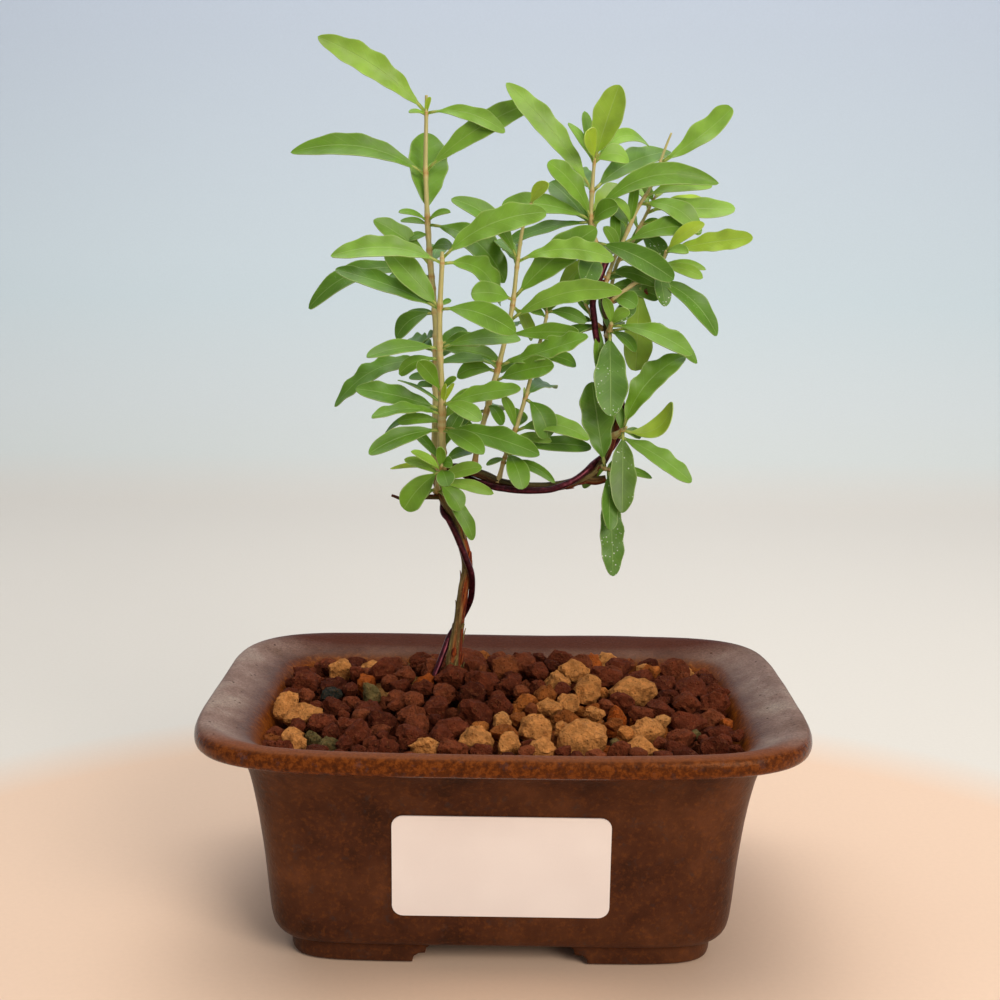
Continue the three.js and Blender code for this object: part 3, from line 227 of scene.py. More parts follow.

# A stem's points are [x, y, z, radius]. A leaf is [place along the stem 0..1, tip x, tip y, tip z,
# width, arch, roll in degrees, tone from 0, the youngest, to 4, the oldest]. The tones also hold
# painted light and shade: leaves that lie in shade have darker tones, and some have lighter ones to
# make up for shade that falls on them.
SHOOTS = {
    "shoot_rear_left": (
        [
            [-17, 8.5, 108.5, 1.2], [-18, 11.5, 112.5, 1.2], [-18, 12.5, 120, 1.15], [-17.9, 14, 130, 1.1],
            [-18, 15, 141.5, 1], [-18.5, 16, 150, 0.9], [-20, 17, 165, 0.8], [-21, 18, 183, 0.7],
            [-21, 19, 197, 0.6], [-21, 19, 202.5, 0.45],
        ],
        [
            [0.905, -47, 13, 215.4, 6.4, 2.1, 0, 1], [0.905, -1.4, 14, 193.5, 4.2, 2.5, 15, 1],
            [0.78, -21, 34, 186, 5, 2, 0, 1], [0.78, -54, 14, 188, 5.8, 4.4, 0, 2],
            [0.785, 6.5, 15, 201.3, 6, 2.1, 10, 1.5], [0.715, -21, 27, 194, 9.9, 1, 10, 2],
            [0.71, -14.6, 13, 174.1, 2.2, 0.8, 0, 2], [0.705, -1, 14, 157, 7.8, 4.3, 10, 2.3],
            [0.64, -33.5, 13, 172, 5.5, 1.2, 10, 2], [0.62, -50, 15, 150, 5.6, 6.2, 10, 3],
            [0.6, -31, 30, 158, 4.6, 1.5, 20, 3], [0.64, -18, 40, 166, 5, 1, 0, 3],
            [0.55, -28.2, 16, 142.7, 5, 2, 0, 3], [0.55, -26, 21, 149, 2, 0.4, 10, 3],
            [0.47, -21, 21, 142, 3.6, 0.8, 0, 3], [0.43, -2, 17, 137, 4.3, 1.5, 20, 2],
            [0.42, -28, 36, 140, 5.5, 2, 0, 3], [0.4, -11, 24, 145, 5.1, 1, 20, 3],
            [0.4, -43.3, 12, 125.8, 6, 5, 10, 3], [0.36, -25, 18, 133, 2.5, 0.5, 0, 3],
            [0.9, -25, 15, 198, 1.8, 0.5, 0, 1], [0.9, -20, 18, 202, 1.3, 0.3, 0, 0],
            [0.71, -27.4, 13, 174, 1.9, 0.9, 0, 2], [0.705, -27.6, 22, 172, 1.9, 0.6, 0, 2],
            [0.34, -23, 20, 131, 1.8, 0.4, 0, 3], [0.665, -14.1, 17, 165.8, 3.6, 1, 0, 3.4],
            [0.69, -24.9, 15, 167.2, 2.2, 0.6, 0, 3],
        ],
    ),
    "shoot_front_left": (
        [
            [-16, 7, 109, 1.3], [-15.8, 4.6, 113, 1.25], [-16, 4, 120.5, 1.15], [-16, 3, 130, 1],
            [-16.5, 1, 140.5, 0.9], [-16.5, 0, 150.5, 0.8], [-16, -1, 161.5, 0.7], [-16, -1, 164.5, 0.5],
        ],
        [
            [0.865, -42, -6, 163.2, 5.6, 3.1, 5, 1.5], [0.9, 8.6, -4, 174, 6.6, 2.9, 0, 1.6],
            [0.865, -2, 11, 152, 7.4, 4, 0, 1.6], [0.72, -29.6, 1.5, 165, 6.4, 0.3, -5, 2],
            [0.72, -42, 4, 160, 5, 1.2, 15, 3], [0.72, 1.8, -9, 146, 6.1, 2.2, -5, 2],
            [0.585, -33.6, -6, 139.6, 5.2, 1.4, 10, 2], [0.585, 3, -3, 144, 5, 1.5, 10, 2],
            [0.55, -26.4, 1, 135, 3.4, 1.6, 0, 2], [0.6, -6.5, 9, 142.5, 3.9, 1, 25, 3],
            [0.435, -21.3, -5, 138.6, 4, 0.5, -5, 2], [0.375, -37, 2, 131.3, 5.2, 0.8, 0, 3],
            [0.36, -25, 8, 128, 2.2, 0.6, 20, 2], [0.36, -32.5, -5, 125, 4.1, 1.9, 20, 2],
            [0.39, 3.2, -3, 132.3, 4.9, 1, 5, 1.5], [0.4, -6.3, -8, 125, 4.4, 1, 0, 1],
            [0.33, -27, 4, 123, 2.9, 1, 0, 2], [0.33, -30.5, 9, 119.5, 2.9, 2.8, 10, 3],
            [0.33, -8, 6, 131, 3.5, 1, 20, 2], [0.3, -33.4, -3, 116, 4.8, 1.6, 10, 2.5],
            [0.3, -5.5, -9, 117.2, 5, 1, 0, 2], [0.31, 8, -3, 116.3, 5.8, 1.2, 10, 2.6],
            [0.2, -11, 8, 126, 3.5, 1, 10, 3], [0.14, -9, 11, 115, 3.5, 1, 10, 3],
            [0.14, -24, 11, 121, 2.5, 0.6, 20, 3], [0.73, -14, 4, 153, 1.3, 0.2, 0, 3],
            [0.39, -15, -1, 133, 1.3, 0.3, 0, 0], [0.39, -13, 2, 133, 1.3, 0.3, 0, 0],
            [0.4, -26.8, 3, 133.5, 2.2, 0.6, 60, 3], [0.44, -12.5, 0, 134.6, 1.6, 0.5, 0, 2],
        ],
    ),
    "shoot_fork": (
        [
            [-17.3, 8, 105.5, 0.9], [-17, 3.4, 107.2, 0.8], [-16.5, 0.6, 110, 0.7],
            [-15.5, -2, 113.5, 0.5],
        ],
        [
            [0.85, -25, 0, 102, 6, 1, -10, 2], [0.2, -23.6, 8, 101.4, 4.2, 1, 10, 2],
            [0.5, -11, 0, 102, 5, 1, 0, 2], [0.5, -6, -2, 113, 3.6, 1, 10, 1],
            [0.5, -3, 1, 106, 2.9, 1, 10, 1], [0.87, -23, -4.5, 117, 2.7, 0.6, 10, 1],
            [0.74, -25, 0, 114.4, 2.6, 0.8, 10, 1], [0.88, -16, -4, 118, 2.4, 0.5, 0, 2],
            [0.88, -14, -7, 109, 4.3, 0.8, -20, 2.8], [0.95, -13, -4, 114, 2.9, 0.8, -20, 3],
            [0.2, -8, 3, 94, 3.7, 2, 0, 2], [0.9, -29, 7, 111, 1.3, 1, 0, 0],
        ],
    ),
    "shoot_centre": (
        [
            [-8, 6, 112, 0.8], [-7, 6, 118.5, 0.8], [-5, 6, 126, 0.8], [-2.5, 6, 136, 0.8],
            [-0.5, 6, 144.5, 0.7], [1, 6, 152, 0.7], [2, 6, 162, 0.6], [3.5, 6, 172, 0.5],
            [5.5, 6, 177, 0.4],
        ],
        [
            [0.97, 9, 2, 181, 3.2, 0.8, 20, 0], [0.755, -14, 2, 177, 5, 3.2, 15, 2.4],
            [0.755, -3, 16, 167.6, 4, 1, 10, 2], [0.755, 25.1, 1, 163.2, 5.3, 2.9, 10, 1],
            [0.74, 0, 28, 166, 5, 2, 0, 2], [0.645, 21, 6, 170.6, 7.4, 1.2, 0, 2],
            [0.64, -9, 0, 154.6, 5.5, 1, 0, 1.7], [0.56, 27, -2, 155.7, 5.2, 3.3, 20, 1],
            [0.5, 17, 0, 145.6, 4.2, 0.6, 15, 2], [0.5, 2, 30, 146, 5.5, 2, 0, 3],
            [0.4, -16.5, 12, 137.5, 4.2, 1, 20, 3], [0.39, 19, -4, 145, 6.1, 0, 0, 2],
            [0.37, -12.6, 9, 134.1, 4.4, 1.6, 10, 2], [0.34, 11, -3, 138, 5.6, 0.8, 0, 2],
            [0.27, -1, 1, 123, 2.9, 1, 0, 3], [0.25, -13, 12, 121, 3.5, 1, 10, 3],
            [0.24, -2, 26, 124, 5, 2, 0, 3], [0.13, -13, 12, 123, 3, 0.8, 0, 2],
            [0.08, -10, 10, 119, 2, 0.5, 0, 1], [0.62, 6, 13, 143, 4, 1, 0, 0.3],
            [0.38, -6, 1, 139, 1.9, 0.3, 30, 3],
        ],
    ),
    "shoot_centre_right": (
        [
            [-2, 3, 108.5, 0.7], [-0.5, 3, 114.5, 0.6], [2, 3, 121.5, 0.7], [4.5, 3, 130, 0.6],
            [7, 4, 140, 0.6], [9, 5, 148, 0.5], [9.5, 5, 151.5, 0.4],
        ],
        [
            [0.87, 5, 4, 151, 2.4, 0.5, 20, 3], [0.94, 19, 4, 148, 3.2, 1, 20, 3],
            [0.92, 7, 9, 154, 2.2, 0.5, 20, 3], [0.49, 10, 0, 120, 6, 2.2, 0, 3],
            [0.34, -1, 1, 130, 2.4, 0.5, 0, 2], [0.33, 20, -1, 120, 4.8, 3, 10, 1.4],
            [0.33, 3, 9, 126, 4.9, 0.5, 0, 2], [0.29, 11, 2, 119, 2.4, 0.8, 20, 1],
            [0.24, 21, 7, 117, 4.4, 1, 20, 3], [0.21, 4, -4, 108, 5.3, 1.5, 0, 2],
            [0.14, 12, 0, 109, 2.4, 2, 20, 3], [0.66, 17, 12, 137, 3.5, 1, 20, 3],
            [0.66, -2, 13, 135, 3, 1, 20, 3], [0.5, 12, 26, 130, 5, 2, 0, 3],
            [0.92, 12, 2, 153, 1.7, 0.5, 20, 2], [0.49, 4, -1, 132, 1.4, 0.4, 0, 1],
            [0.17, -5, 2, 113, 1.9, 0.3, 10, 3],
        ],
    ),
    "shoot_right_tall": (
        [
            [22.9, 11, 158.4, 0.8], [22, 11, 164, 0.8], [20, 11, 171.5, 0.7], [20, 12, 179, 0.7],
            [20.5, 12, 187.5, 0.4],
        ],
        [
            [0.98, 25.8, 8, 204.4, 7.2, 0.2, -5, 0.7], [0.98, 18, 4, 193, 5.4, 1, 0, 0],
            [0.96, 18, 17, 199, 3, 0.8, 0, 1], [0.96, 14, 15, 196, 3, 0.8, 20, 1],
            [0.97, 34.5, 21, 191, 4, 4.5, 20, 1], [0.97, 29, 13, 187, 5, 2, 20, 1],
            [0.765, -1.3, 10, 204.8, 5.8, 1.7, 0, 1], [0.76, 40, 24, 190, 7.6, 2.5, 10, 2.6],
            [0.765, 16, 36, 186, 5, 1, 0, 2], [0.54, 9, 5, 186, 6, 1.7, 0, 1.4],
            [0.54, -2, 10, 176, 5.6, 1.8, 5, 2], [0.57, 50.7, 10, 181.7, 5.6, 6, 12, 2],
            [0.52, -2, 20, 166, 4.6, 1.5, 25, 3], [0.51, 26, 6, 176, 5.4, 0.8, 0, 2.3],
            [0.48, 10, 20, 182, 6.6, 1, 10, 3], [0.46, 22, 38, 176, 6, 2, 0, 1.1],
            [0.44, 26, 22, 182, 5.1, 1, 10, 0.5], [0.34, 14, 18, 168, 3, 1, 20, 3],
            [0.21, 18, 1, 157, 6.3, 2, -20, 4], [0.17, 16, 12, 157, 2.5, 0.6, 0, 1],
            [0.25, 13, 20, 155, 4.6, 1, 10, 0.6], [0.36, 39.6, 2, 158.6, 5.8, 1.5, 0, 3.3],
        ],
    ),
    "shoot_right_leaning": (
        [
            [22.9, 10.4, 154.5, 0.7], [24.2, 11, 158.5, 0.65], [26, 12.3, 163.5, 0.6],
            [27.8, 13.3, 167, 0.6], [31.5, 15, 175.5, 0.55], [35, 16, 181.5, 0.5], [38, 17, 190, 0.4],
            [39.5, 17, 194, 0.3],
        ],
        [
            [0.795, 53.8, 14, 199.9, 6.4, -0.6, 0, 1], [0.64, 50, 17, 181.4, 4.2, 1.6, 10, 1],
            [0.6, 47, 11.5, 169.5, 5.4, 3, 0, 1.4], [0.6, 56.3, 20, 176, 6, -0.5, 10, 1],
            [0.51, 25, 12, 178, 2.4, 1, 20, 1], [0.51, 31, 15, 182, 2.5, 0.5, 0, 2],
            [0.49, 26, 22, 176, 3.6, 1, 10, 1], [0.42, 47.2, 12, 170.8, 5.5, 2.2, 0, 1.8],
            [0.41, 33, 8, 163, 3, 1, -10, 3], [0.33, 23, 10, 171, 3, 0.8, 0, 2],
            [0.33, 26, 19, 175, 2.5, 0.6, 0, 2], [0.34, 28, 24, 174, 3.6, 1, 20, 2],
            [0.18, 36, 8, 157, 3.5, 1.5, 10, 3], [0.13, 33, 18, 160, 3, 1, 10, 3],
            [0.07, 38, 14, 154, 5, 1.5, 10, 1.8],
        ],
    ),
    "shoot_right_slender": (
        [
            [24.2, 10.6, 152.5, 0.6], [25.5, 13.5, 157, 0.6], [27, 15.5, 162.5, 0.6], [30.5, 18, 167, 0.5],
            [33, 20, 172, 0.5], [36.5, 21, 179, 0.3],
        ],
        [
            [0.96, 33, 20, 181, 2.3, 0.5, 0, 1], [0.88, 50, 28, 178, 4.2, 1, 10, 0.5],
            [0.79, 46, 24, 171, 3.1, 1, 10, 0], [0.9, 33, 42, 184, 5.5, 2, 0, 0.7],
            [0.75, 28, 27, 176, 3.1, 1, 20, 2], [0.5, 38, 26, 173, 3.6, 1, 20, 2],
            [0.42, 36, 26, 162, 4.1, 1, 0, 3], [0.45, 26, 40, 164, 5.5, 2, 0, 3],
            [0.54, 34, 16, 163, 3, 1, 0, 2], [0.97, 39, 26, 181, 1.8, 0.4, 0, 0],
            [0.72, 38.2, 18, 162.3, 5.4, 1.6, 0, 4],
        ],
    ),
    "shoot_side_sprig": (
        [
            [24.4, 9.6, 152, 0.6], [27, 8, 154.5, 0.6], [31, 9, 157.5, 0.6], [35, 10, 159.5, 0.6],
            [37.5, 10.5, 162.5, 0.5], [38.5, 10.5, 165.5, 0.4],
        ],
        [
            [0.76, 48, 8, 161, 2.5, 1, 10, 1], [0.74, 47, 5, 159, 3.2, 1, 10, 1],
            [0.97, 58.6, 4.5, 168.8, 4.9, 0.6, 10, 0.2], [0.97, 43, 3, 165, 2.7, 0.8, 10, 1],
            [0.97, 47, 6, 172, 3.8, 1, 0, 0], [0.7, 38, 5, 152, 4.1, 0.8, -10, 4],
            [0.55, 51, 6, 145, 5.8, 3, 0, 3], [0.45, 31.9, 12, 135.7, 7, 0.5, 0, 0.8],
            [0.25, 37, 11, 154, 3.5, 1, 10, 3], [0.1, 31, 4, 152, 4.9, 1.2, 0, 2.6],
            [0.35, 36, 15, 165, 3, 1, 10, 2],
        ],
    ),
    "shoot_branch_left": (
        [
            [23.4, 10, 146, 0.5], [21, 8.4, 148, 0.5], [19.5, 7, 151, 0.4], [18.5, 7, 152.5, 0.3],
        ],
        [
            [0.35, 16, 8, 148, 2.4, 0.6, 20, 3], [0.21, 12, 5, 143, 3.4, 1, 10, 3],
            [0.14, 22, 4, 136, 2.9, 1, -20, 2], [0.14, 2, 16, 136, 4, 1.5, 50, 4],
            [0.89, 18, 6, 154, 1.3, 0.3, 0, 1], [0.78, 20, 9, 154, 1.3, 0.3, 0, 1],
            [0.46, 17, 10, 153, 1.3, 0.4, 0, 2],
        ],
    ),
    "shoot_branch_middle": (
        [
            [24.5, 9, 144.5, 0.8], [24.8, 5, 146.5, 0.7], [25, 3, 148, 0.5],
        ],
        [
            [0.38, 24.9, -4, 126, 7.9, 1, -10, 4], [0.75, 44, -3, 141, 5.3, 2, 0, 1.8],
            [0.35, 46.3, 5, 138.3, 4.4, 4, 0, 2.6], [0.35, 31, 3, 141, 3.2, 1.2, 0, 3],
            [0.85, 29, 0, 151, 2.9, 0.8, 0, 1], [0.68, 31, 7, 152, 3.9, 0.8, 10, 4],
            [0.83, 23, 2, 154, 2.4, 0.5, 0, 2], [0.3, 23, 15, 154, 2.5, 0.5, 0, 3],
            [0.3, 28, 30, 146, 5.5, 2, 0, 3],
        ],
    ),
    "shoot_branch_low": (
        [
            [26.1, 5, 120, 0.7], [28.3, 2, 122, 0.6], [29, 0, 123, 0.4],
        ],
        [
            [0.5, 28, -7, 103, 6.2, 1, -10, 4], [0.12, 45, -2, 110, 5, 1.4, 0, 1.8],
            [0.45, 40, 1, 129, 4.8, -4, 0, 0.1], [0.45, 43.5, 8, 140, 6.6, 3.9, 0, 2],
            [0.4, 27, 4, 128, 2.4, 0.4, 0, 3], [0.42, 33, 4, 120, 2.4, 0.8, 10, 3],
        ],
    ),
    "shoot_branch_bend": (
        [
            [23.4, 4, 113, 0.7], [24.3, 1, 112.5, 0.5], [25.5, 0, 112.5, 0.4],
        ],
        [
            [0.4, 20.5, 3, 133.6, 7.6, 0, 0, 3], [0.77, 26.3, -5, 87, 5.7, 1, -10, 4],
            [0.77, 25, -8, 99, 4.5, 0.8, -10, 3.5], [0.89, 36, 4, 110, 2.4, 0.8, 10, 2],
            [0.4, 19, 6, 107, 2.5, 0.6, 0, 2], [0.5, 28, 3, 114, 1.9, 0.4, 0, 1],
        ],
    ),
}

# ---------------------------------------------------------------- sizes of the soil

SOIL_EDGE = 50.2  # height at the wall
# The mound: middle x and y, height, and how far it spreads along x, and to the front and back along y.
SOIL_MOUND = (3, 18, 7.2, 42, 36, 16)
# The dip in front of the left wall: middle x and y, depth, spread along x and y.
SOIL_DIP = (-57, -19, 3.5, 5, 9)
SOIL_WALL = (57.6, 40.6, 7)  # half width, half depth and squareness of the room for grains
TAN_PATCH = (17, -17, 26, 13.5)  # middle x and y, half width, half depth
TRUNK_CLEARANCE = 2.4
WIRE_CLEARANCE = 0.5
WALL_SHARE = 0.45  # shares of its width that a grain keeps free of the wall, and of the trunk and wire
WOOD_SHARE = 0.3
TOP_EXTENT = (57, 40)  # half width and half depth of where grains are tried
LOWER_EXTENT = (55, 38)
# Grains of the top by size: width, tries, and how close two may be as a share of their widths together.
TOP_GRAINS = ((7.8, 500, 0.49), (6.6, 1200, 0.48), (5.4, 2200, 0.47), (4.2, 3000, 0.45))
GRAIN_SPREAD = (0.85, 1.12)
TOP_LIFT = (0.6, 2.6)  # a grain's middle over the soil's height
LIFT_LOSS = 0.05  # how much lower a grain lies per millimetre of its width
FINE_GRAIN = 4.6  # grains that are no wider get fewer faces
# Grains of the layer under the top: tries, range of widths, closeness and depth.
LOWER_TRIES = 2600
LOWER_WIDTHS = (4, 7.5)
LOWER_CLOSENESS = 0.4
LOWER_DEPTH = (2.2, 3.6)
# The lower grains are drawn darker along the clay ramp, as painted shade between the top grains.
LOWER_SHADE = 0.9
# A grain starts as a ball that is cut back by flat breaks, so it is drawn wider than half its width.
GRAIN_BREAKS = 14
BREAK_DEPTH = (0.58, 0.9)
GRAIN_RADIUS = 0.59  # shares of the grain's width
GRAIN_DEPTH = (0.72, 0.96)
GRAIN_HEIGHT = (0.66, 0.9)
GRAIN_TILT = (-0.5, 0.5)
GRAIN_LUMPS = [(1.7, 0.14), (4.4, 0.17)]  # how closely they follow each other, and their height
GRAIN_GRIT = (-0.04, 0.04)
KIND_SPREAD = (-0.01, 0.01)
TOP_SEED = 11
SOIL_SEED = 23
SOIL_BED = [[0, 0, 11.6, 8], [44, 28, 11.6, 8], [49, 32, 13, 8], [52.3, 35.1, 38, 8], [54, 37, 46, 8]]
BED_TOP = (0.96, 0.85, 0.7, 0.5, 0.3, 0.15, 0)  # shares of the bed's last half width and depth
BED_DEPTH = 4.5  # of the packed soil's top under the grains
BED_CRUMBLE = (5, 0.8)  # width and height

# Where each kind of grain lies along the clay finish's ramp.
CLAY_KINDS = {"red": 0.2, "rust": 0.62, "brown": 0.55, "tan": 0.78, "moss": 0.93, "black": 1.0}
# Chances and ranges along that ramp: in the tan patch, then elsewhere.
TAN_CHANCE, TAN_KINDS, OTHER_KINDS = 0.62, (0.68, 0.85), (0.1, 0.6)
RED_CHANCE, RED_KINDS = 0.9, (0.02, 0.48)
DARK_CHANCE, DARK_KIND, PALE_KINDS = 0.015, 0.95, (0.5, 0.82)
# The larger grains of the surface: [x, y, width, kind].
NOTED_GRAINS = [
    [-53.5, -5, 7.5, "tan"], [-48.5, -9.5, 9.3, "tan"], [-49.5, -23.8, 6, "tan"],
    [-48.3, -29.4, 5.4, "tan"], [-44.6, -26, 4.8, "moss"], [-40.5, -28.8, 5, "moss"],
    [-43.1, 1.5, 5.5, "black"], [-33.1, 2.6, 6.5, "moss"], [-43.7, 23.2, 6.9, "tan"],
    [-36, 31, 5.4, "tan"], [-20.3, 7, 6.8, "rust"], [-51, 12.5, 7.8, "red"],
    [-30.5, 18, 9.6, "red"], [13.5, 4.4, 6.6, "tan"], [20.8, -0.8, 8.4, "tan"],
    [32.1, 3.5, 11.3, "tan"], [15.8, -7.3, 5.4, "tan"], [10.2, -4.2, 6.1, "brown"],
    [15, -15.6, 7, "brown"], [21.8, -12.4, 5.4, "tan"], [27.4, -11.4, 5.6, "rust"],
    [21.2, -20.6, 7, "tan"], [8, -24.1, 8.9, "tan"], [19.3, -29, 11.6, "tan"],
    [33.2, -20.1, 9, "tan"], [32.4, -30.4, 8.3, "tan"], [-6.5, -28.4, 8, "tan"],
    [1.4, -33.2, 6.6, "tan"], [0.5, -25.4, 5.8, "brown"], [3.6, -16.7, 5.3, "brown"],
    [9.6, -34, 6.4, "tan"], [6.3, 33.5, 6.9, "tan"], [38.4, 32, 5.6, "tan"],
    [43.3, 32.6, 4.6, "tan"], [48.6, 32.4, 6, "tan"], [-17.5, -34, 6.4, "tan"],
    [-22.6, 33, 8, "brown"], [-6.9, 33.5, 9.5, "brown"], [-7.3, -13.9, 9.4, "red"],
    [-16.2, -9.9, 7.8, "red"], [-1.2, -9.4, 6.4, "red"], [1.6, 1.5, 6.8, "red"],
    [14.8, 31, 9.6, "red"], [48.8, 10.8, 10, "red"], [41.6, 14.6, 7, "red"],
    [-32, 33.5, 3.6, "moss"], [-28.8, 31.5, 3, "moss"], [-26, 30.5, 2.6, "moss"],
    [45.5, -20.8, 2.8, "moss"], [26.2, -27, 3.4, "moss"], [20.4, 4.2, 2.8, "moss"],
]

# ---------------------------------------------------------------- sizes of the camera and stage

CAMERA_PLACE = Vector((0.28, -374.412, 165.932))
CAMERA_TURNS = (0.2696, 9.298, 0.7217)  # degrees: to the left, down, and its right side up
LENS = 55.8
SENSOR_WIDTH = 36
FLOOR_WIDTH = 4400
FLOOR_FRONT = -900
FLOOR_LENGTH = 1500
SWEEP_RADIUS = 350
SWEEP_RUN = 2600  # length of the floor, the bend and the backdrop together
BACKDROP_STRETCH = 2.5  # how much longer the steps of the backdrop are
WORLD_LIGHT = 0.35
# Each lamp's name, place, aim, size, power and colour, with places and sizes in metres.
LAMPS = [
    ["overhead_box", (-0.05, 0.05, 1.0), (0, 0, 0.1), (0.8, 0.8), 5.4, "#fffaf2"],
    ["front_box", (0.7, -1.05, 0.75), (0, 0, 0.08), (0.7, 0.7), 13.2, "#fff6ec"],
    ["backdrop_box", (0, 0.25, 1.35), (0, 0.95, 0.4), (1.6, 0.4), 5, "#eef4ff"],
]

# ---------------------------------------------------------------- curves and sheets


def clamp(value):
    return min(max(value, 0), 1)


def mix(a, b, share):
    return a + (b - a) * share


def passed(span, value):
    """How far a value has come through a span: 0 before its start, 1 past its end."""
    start, end = span
    return clamp((value - start) / (end - start))


def between(rows, place):
    """The second number of a list of rows, at a place among their first numbers."""
    for (low, first), (high, second) in zip(rows, rows[1:]):
        if place <= high:
            return mix(first, second, (place - low) / (high - low))
    return rows[-1][1]


def square_to(axis, wanted):
    return (wanted - axis * wanted.dot(axis)).normalized()


class Path:
    """A smooth curve through points of [x, y, z, radius]."""

    def __init__(self, points):
        self.points = [Vector(point[:3]) for point in points]
        self.radii = [point[3] for point in points]
        first, last = self.points[0] * 2 - self.points[1], self.points[-1] * 2 - self.points[-2]
        self.knots = [first, *self.points, last]

    def split(self, t):
        place = clamp(t) * (len(self.points) - 1)
        before = min(int(place), len(self.points) - 2)
        return before, place - before

    def at(self, t):
        before, w = self.split(t)
        a, b, c, d = self.knots[before : before + 4]
        return b + ((c - a) + ((a * 2 - b * 5 + c * 4 - d) + ((b - c) * 3 + d - a) * w) * w) * (w / 2)

    def radius(self, t):
        before, w = self.split(t)
        return mix(self.radii[before], self.radii[before + 1], w)

    def axes(self, t):
        """The curve's direction, and the front and side of its section there."""
        ahead = (self.at(min(t + 1e-3, 1)) - self.at(max(t - 1e-3, 0))).normalized()
        front = square_to(ahead, Vector((0, -1, 0)))
        return ahead, front, ahead.cross(front)

    def length(self):
        places = [self.at(i / 60) for i in range(61)]
        return sum((b - a).length for a, b in zip(places, places[1:]))


def bent_sheet(bm, columns, rows, rule):
    """A sheet whose corners the rule puts in place from (u, v), 0 to 1. It is shut where they meet."""
    grid = bmesh.ops.create_grid(bm, x_segments=columns, y_segments=rows, size=0.5, calc_uvs=True)
    for corner in grid["verts"]:
        rule(corner, corner.co.x + 0.5, corner.co.y + 0.5)
    bmesh.ops.remove_doubles(bm, verts=grid["verts"], dist=1e-4)


def tube(bm, path, sides, steps, thick, marks=None):
    """A round stem along a path, closed at both ends.

    thick gives its radius from (t, angle), and marks sets a corner's numbers from (corner, t, angle).
    """
    rows = steps + 2

    def rule(corner, u, v):
        row = round(v * rows)
        t = clamp((row - 1) / steps)
        angle = u * TAU
        _, front, side = path.axes(t)
        out = front * math.cos(angle) + side * math.sin(angle)
        radius = 0 if row in (0, rows) else thick(t, angle)
        corner.co = path.at(t) + out * radius
        if marks:
            marks(corner, t, angle)

    bent_sheet(bm, sides, rows, rule)


def new_shape(*numbers, vector=None):
    """An empty bmesh with a UV map and the named numbers on its corners."""
    bm = bmesh.new()
    bm.loops.layers.uv.new("UVMap")
    for name in numbers:
        bm.verts.layers.float.new(name)
    if vector:
        bm.verts.layers.float_vector.new(vector)
    return bm


def to_object(bm, name, *finishes, smooth=True):
    """A finished piece in metres, smooth all over or with every face flat."""
    bmesh.ops.scale(bm, vec=(MM, MM, MM), verts=bm.verts)
    for face in bm.faces:
        face.smooth = smooth
    mesh = bpy.data.meshes.new(name)
    bm.to_mesh(mesh)
    bm.free()
    for finish in finishes:
        mesh.materials.append(finish)
    piece = bpy.data.objects.new(name, mesh)
    bpy.context.scene.collection.objects.link(piece)
    return piece


def cut(piece, tool, way):
    """Cuts a tool out of a piece, or joins the two."""
    step = piece.modifiers.new(way.lower(), "BOOLEAN")
    step.operation = way
    step.solver = "EXACT"
    step.object = tool


def settle(piece):
    """Turns a piece's modifiers into its mesh."""
    bpy.context.view_layer.update()
    graph = bpy.context.evaluated_depsgraph_get()
    settled = bpy.data.meshes.new_from_object(piece.evaluated_get(graph))
    piece.modifiers.clear()
    piece.data = settled


def stand_for(piece, node):
    """The piece is shown in place of a CAD node: it hangs under the root body and the node is hidden."""
    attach(piece, "root")
    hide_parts(node)


# ---------------------------------------------------------------- materials


def linear(hex_colour):
    """A colour from its sRGB hex value, as the renderer's linear numbers."""
    parts = [int(hex_colour[i : i + 2], 16) / 255 for i in (1, 3, 5)]
    return [c / 12.92 if c <= 0.04045 else ((c + 0.055) / 1.055) ** 2.4 for c in parts] + [1]


def fit(socket, value):
    """Gives an input its value: a hex colour, a number, or the output of a node or socket."""
    if isinstance(value, bpy.types.Node):
        value = next(output for output in value.outputs if output.enabled)
    if isinstance(value, bpy.types.NodeSocket):
        socket.id_data.links.new(value, socket)
    elif isinstance(value, str):
        socket.default_value = linear(value)
    else:
        socket.default_value = value


def add_node(tree, kind, inputs=None, stops=None, **settings):
    """Adds a node with its settings, its ramp's stops, and its inputs' values or links."""
    node = tree.nodes.new("ShaderNode" + kind)
    for name, value in settings.items():
        setattr(node, name, value)
    if stops:
        places = node.color_ramp.elements
        while len(places) < len(stops):
            places.new(1)
        for stop, (place, colour) in zip(places, stops):
            stop.position = place
            stop.color = linear(colour)
    for name, value in (inputs or {}).items():
        socket = node.inputs[name]
        if isinstance(name, str):
            socket = next(other for other in node.inputs if other.enabled and other.name == name)
        fit(socket, value)
    return node


def new_finish(name, **constants):
    """A material, its shader with the constants on its own sockets, and add_node for its nodes.

    An underscore in a constant's name stands for a space.
    """
    finish = bpy.data.materials.new(name)
    finish.use_nodes = True
    shader = finish.node_tree.nodes["Principled BSDF"]
    for socket, value in constants.items():
        fit(shader.inputs[socket.replace("_", " ")], value)
    return finish, shader, partial(add_node, finish.node_tree)


def per_mm(size):
    """The scale of a pattern whose features are that many millimetres wide."""
    return 1 / (size * MM)


def blend(add, share, under, over):
    """Colour over on colour under, by a share from 0 to 1."""
    return add("Mix", {"Factor": share, "A": under, "B": over}, data_type="RGBA")


def shaded(add, colour, pattern, darkest, lightest):
    """A colour dimmed and brightened by a pattern, whose values lie between about 0.3 and 0.7."""
    ends = {"From Min": 0.3, "From Max": 0.7, "To Min": darkest, "To Max": lightest}
    level = add("MapRange", {"Value": pattern, **ends})
    return add("VectorMath", {0: colour, "Scale": level}, operation="SCALE")


def relief(add, shader, height, strength, depth):
    """Gives a finish a relief from a pattern's heights, its depth in millimetres."""
    bump = add("Bump", {"Height": height, "Strength": strength, "Distance": depth * MM})
    fit(shader.inputs["Normal"], bump)


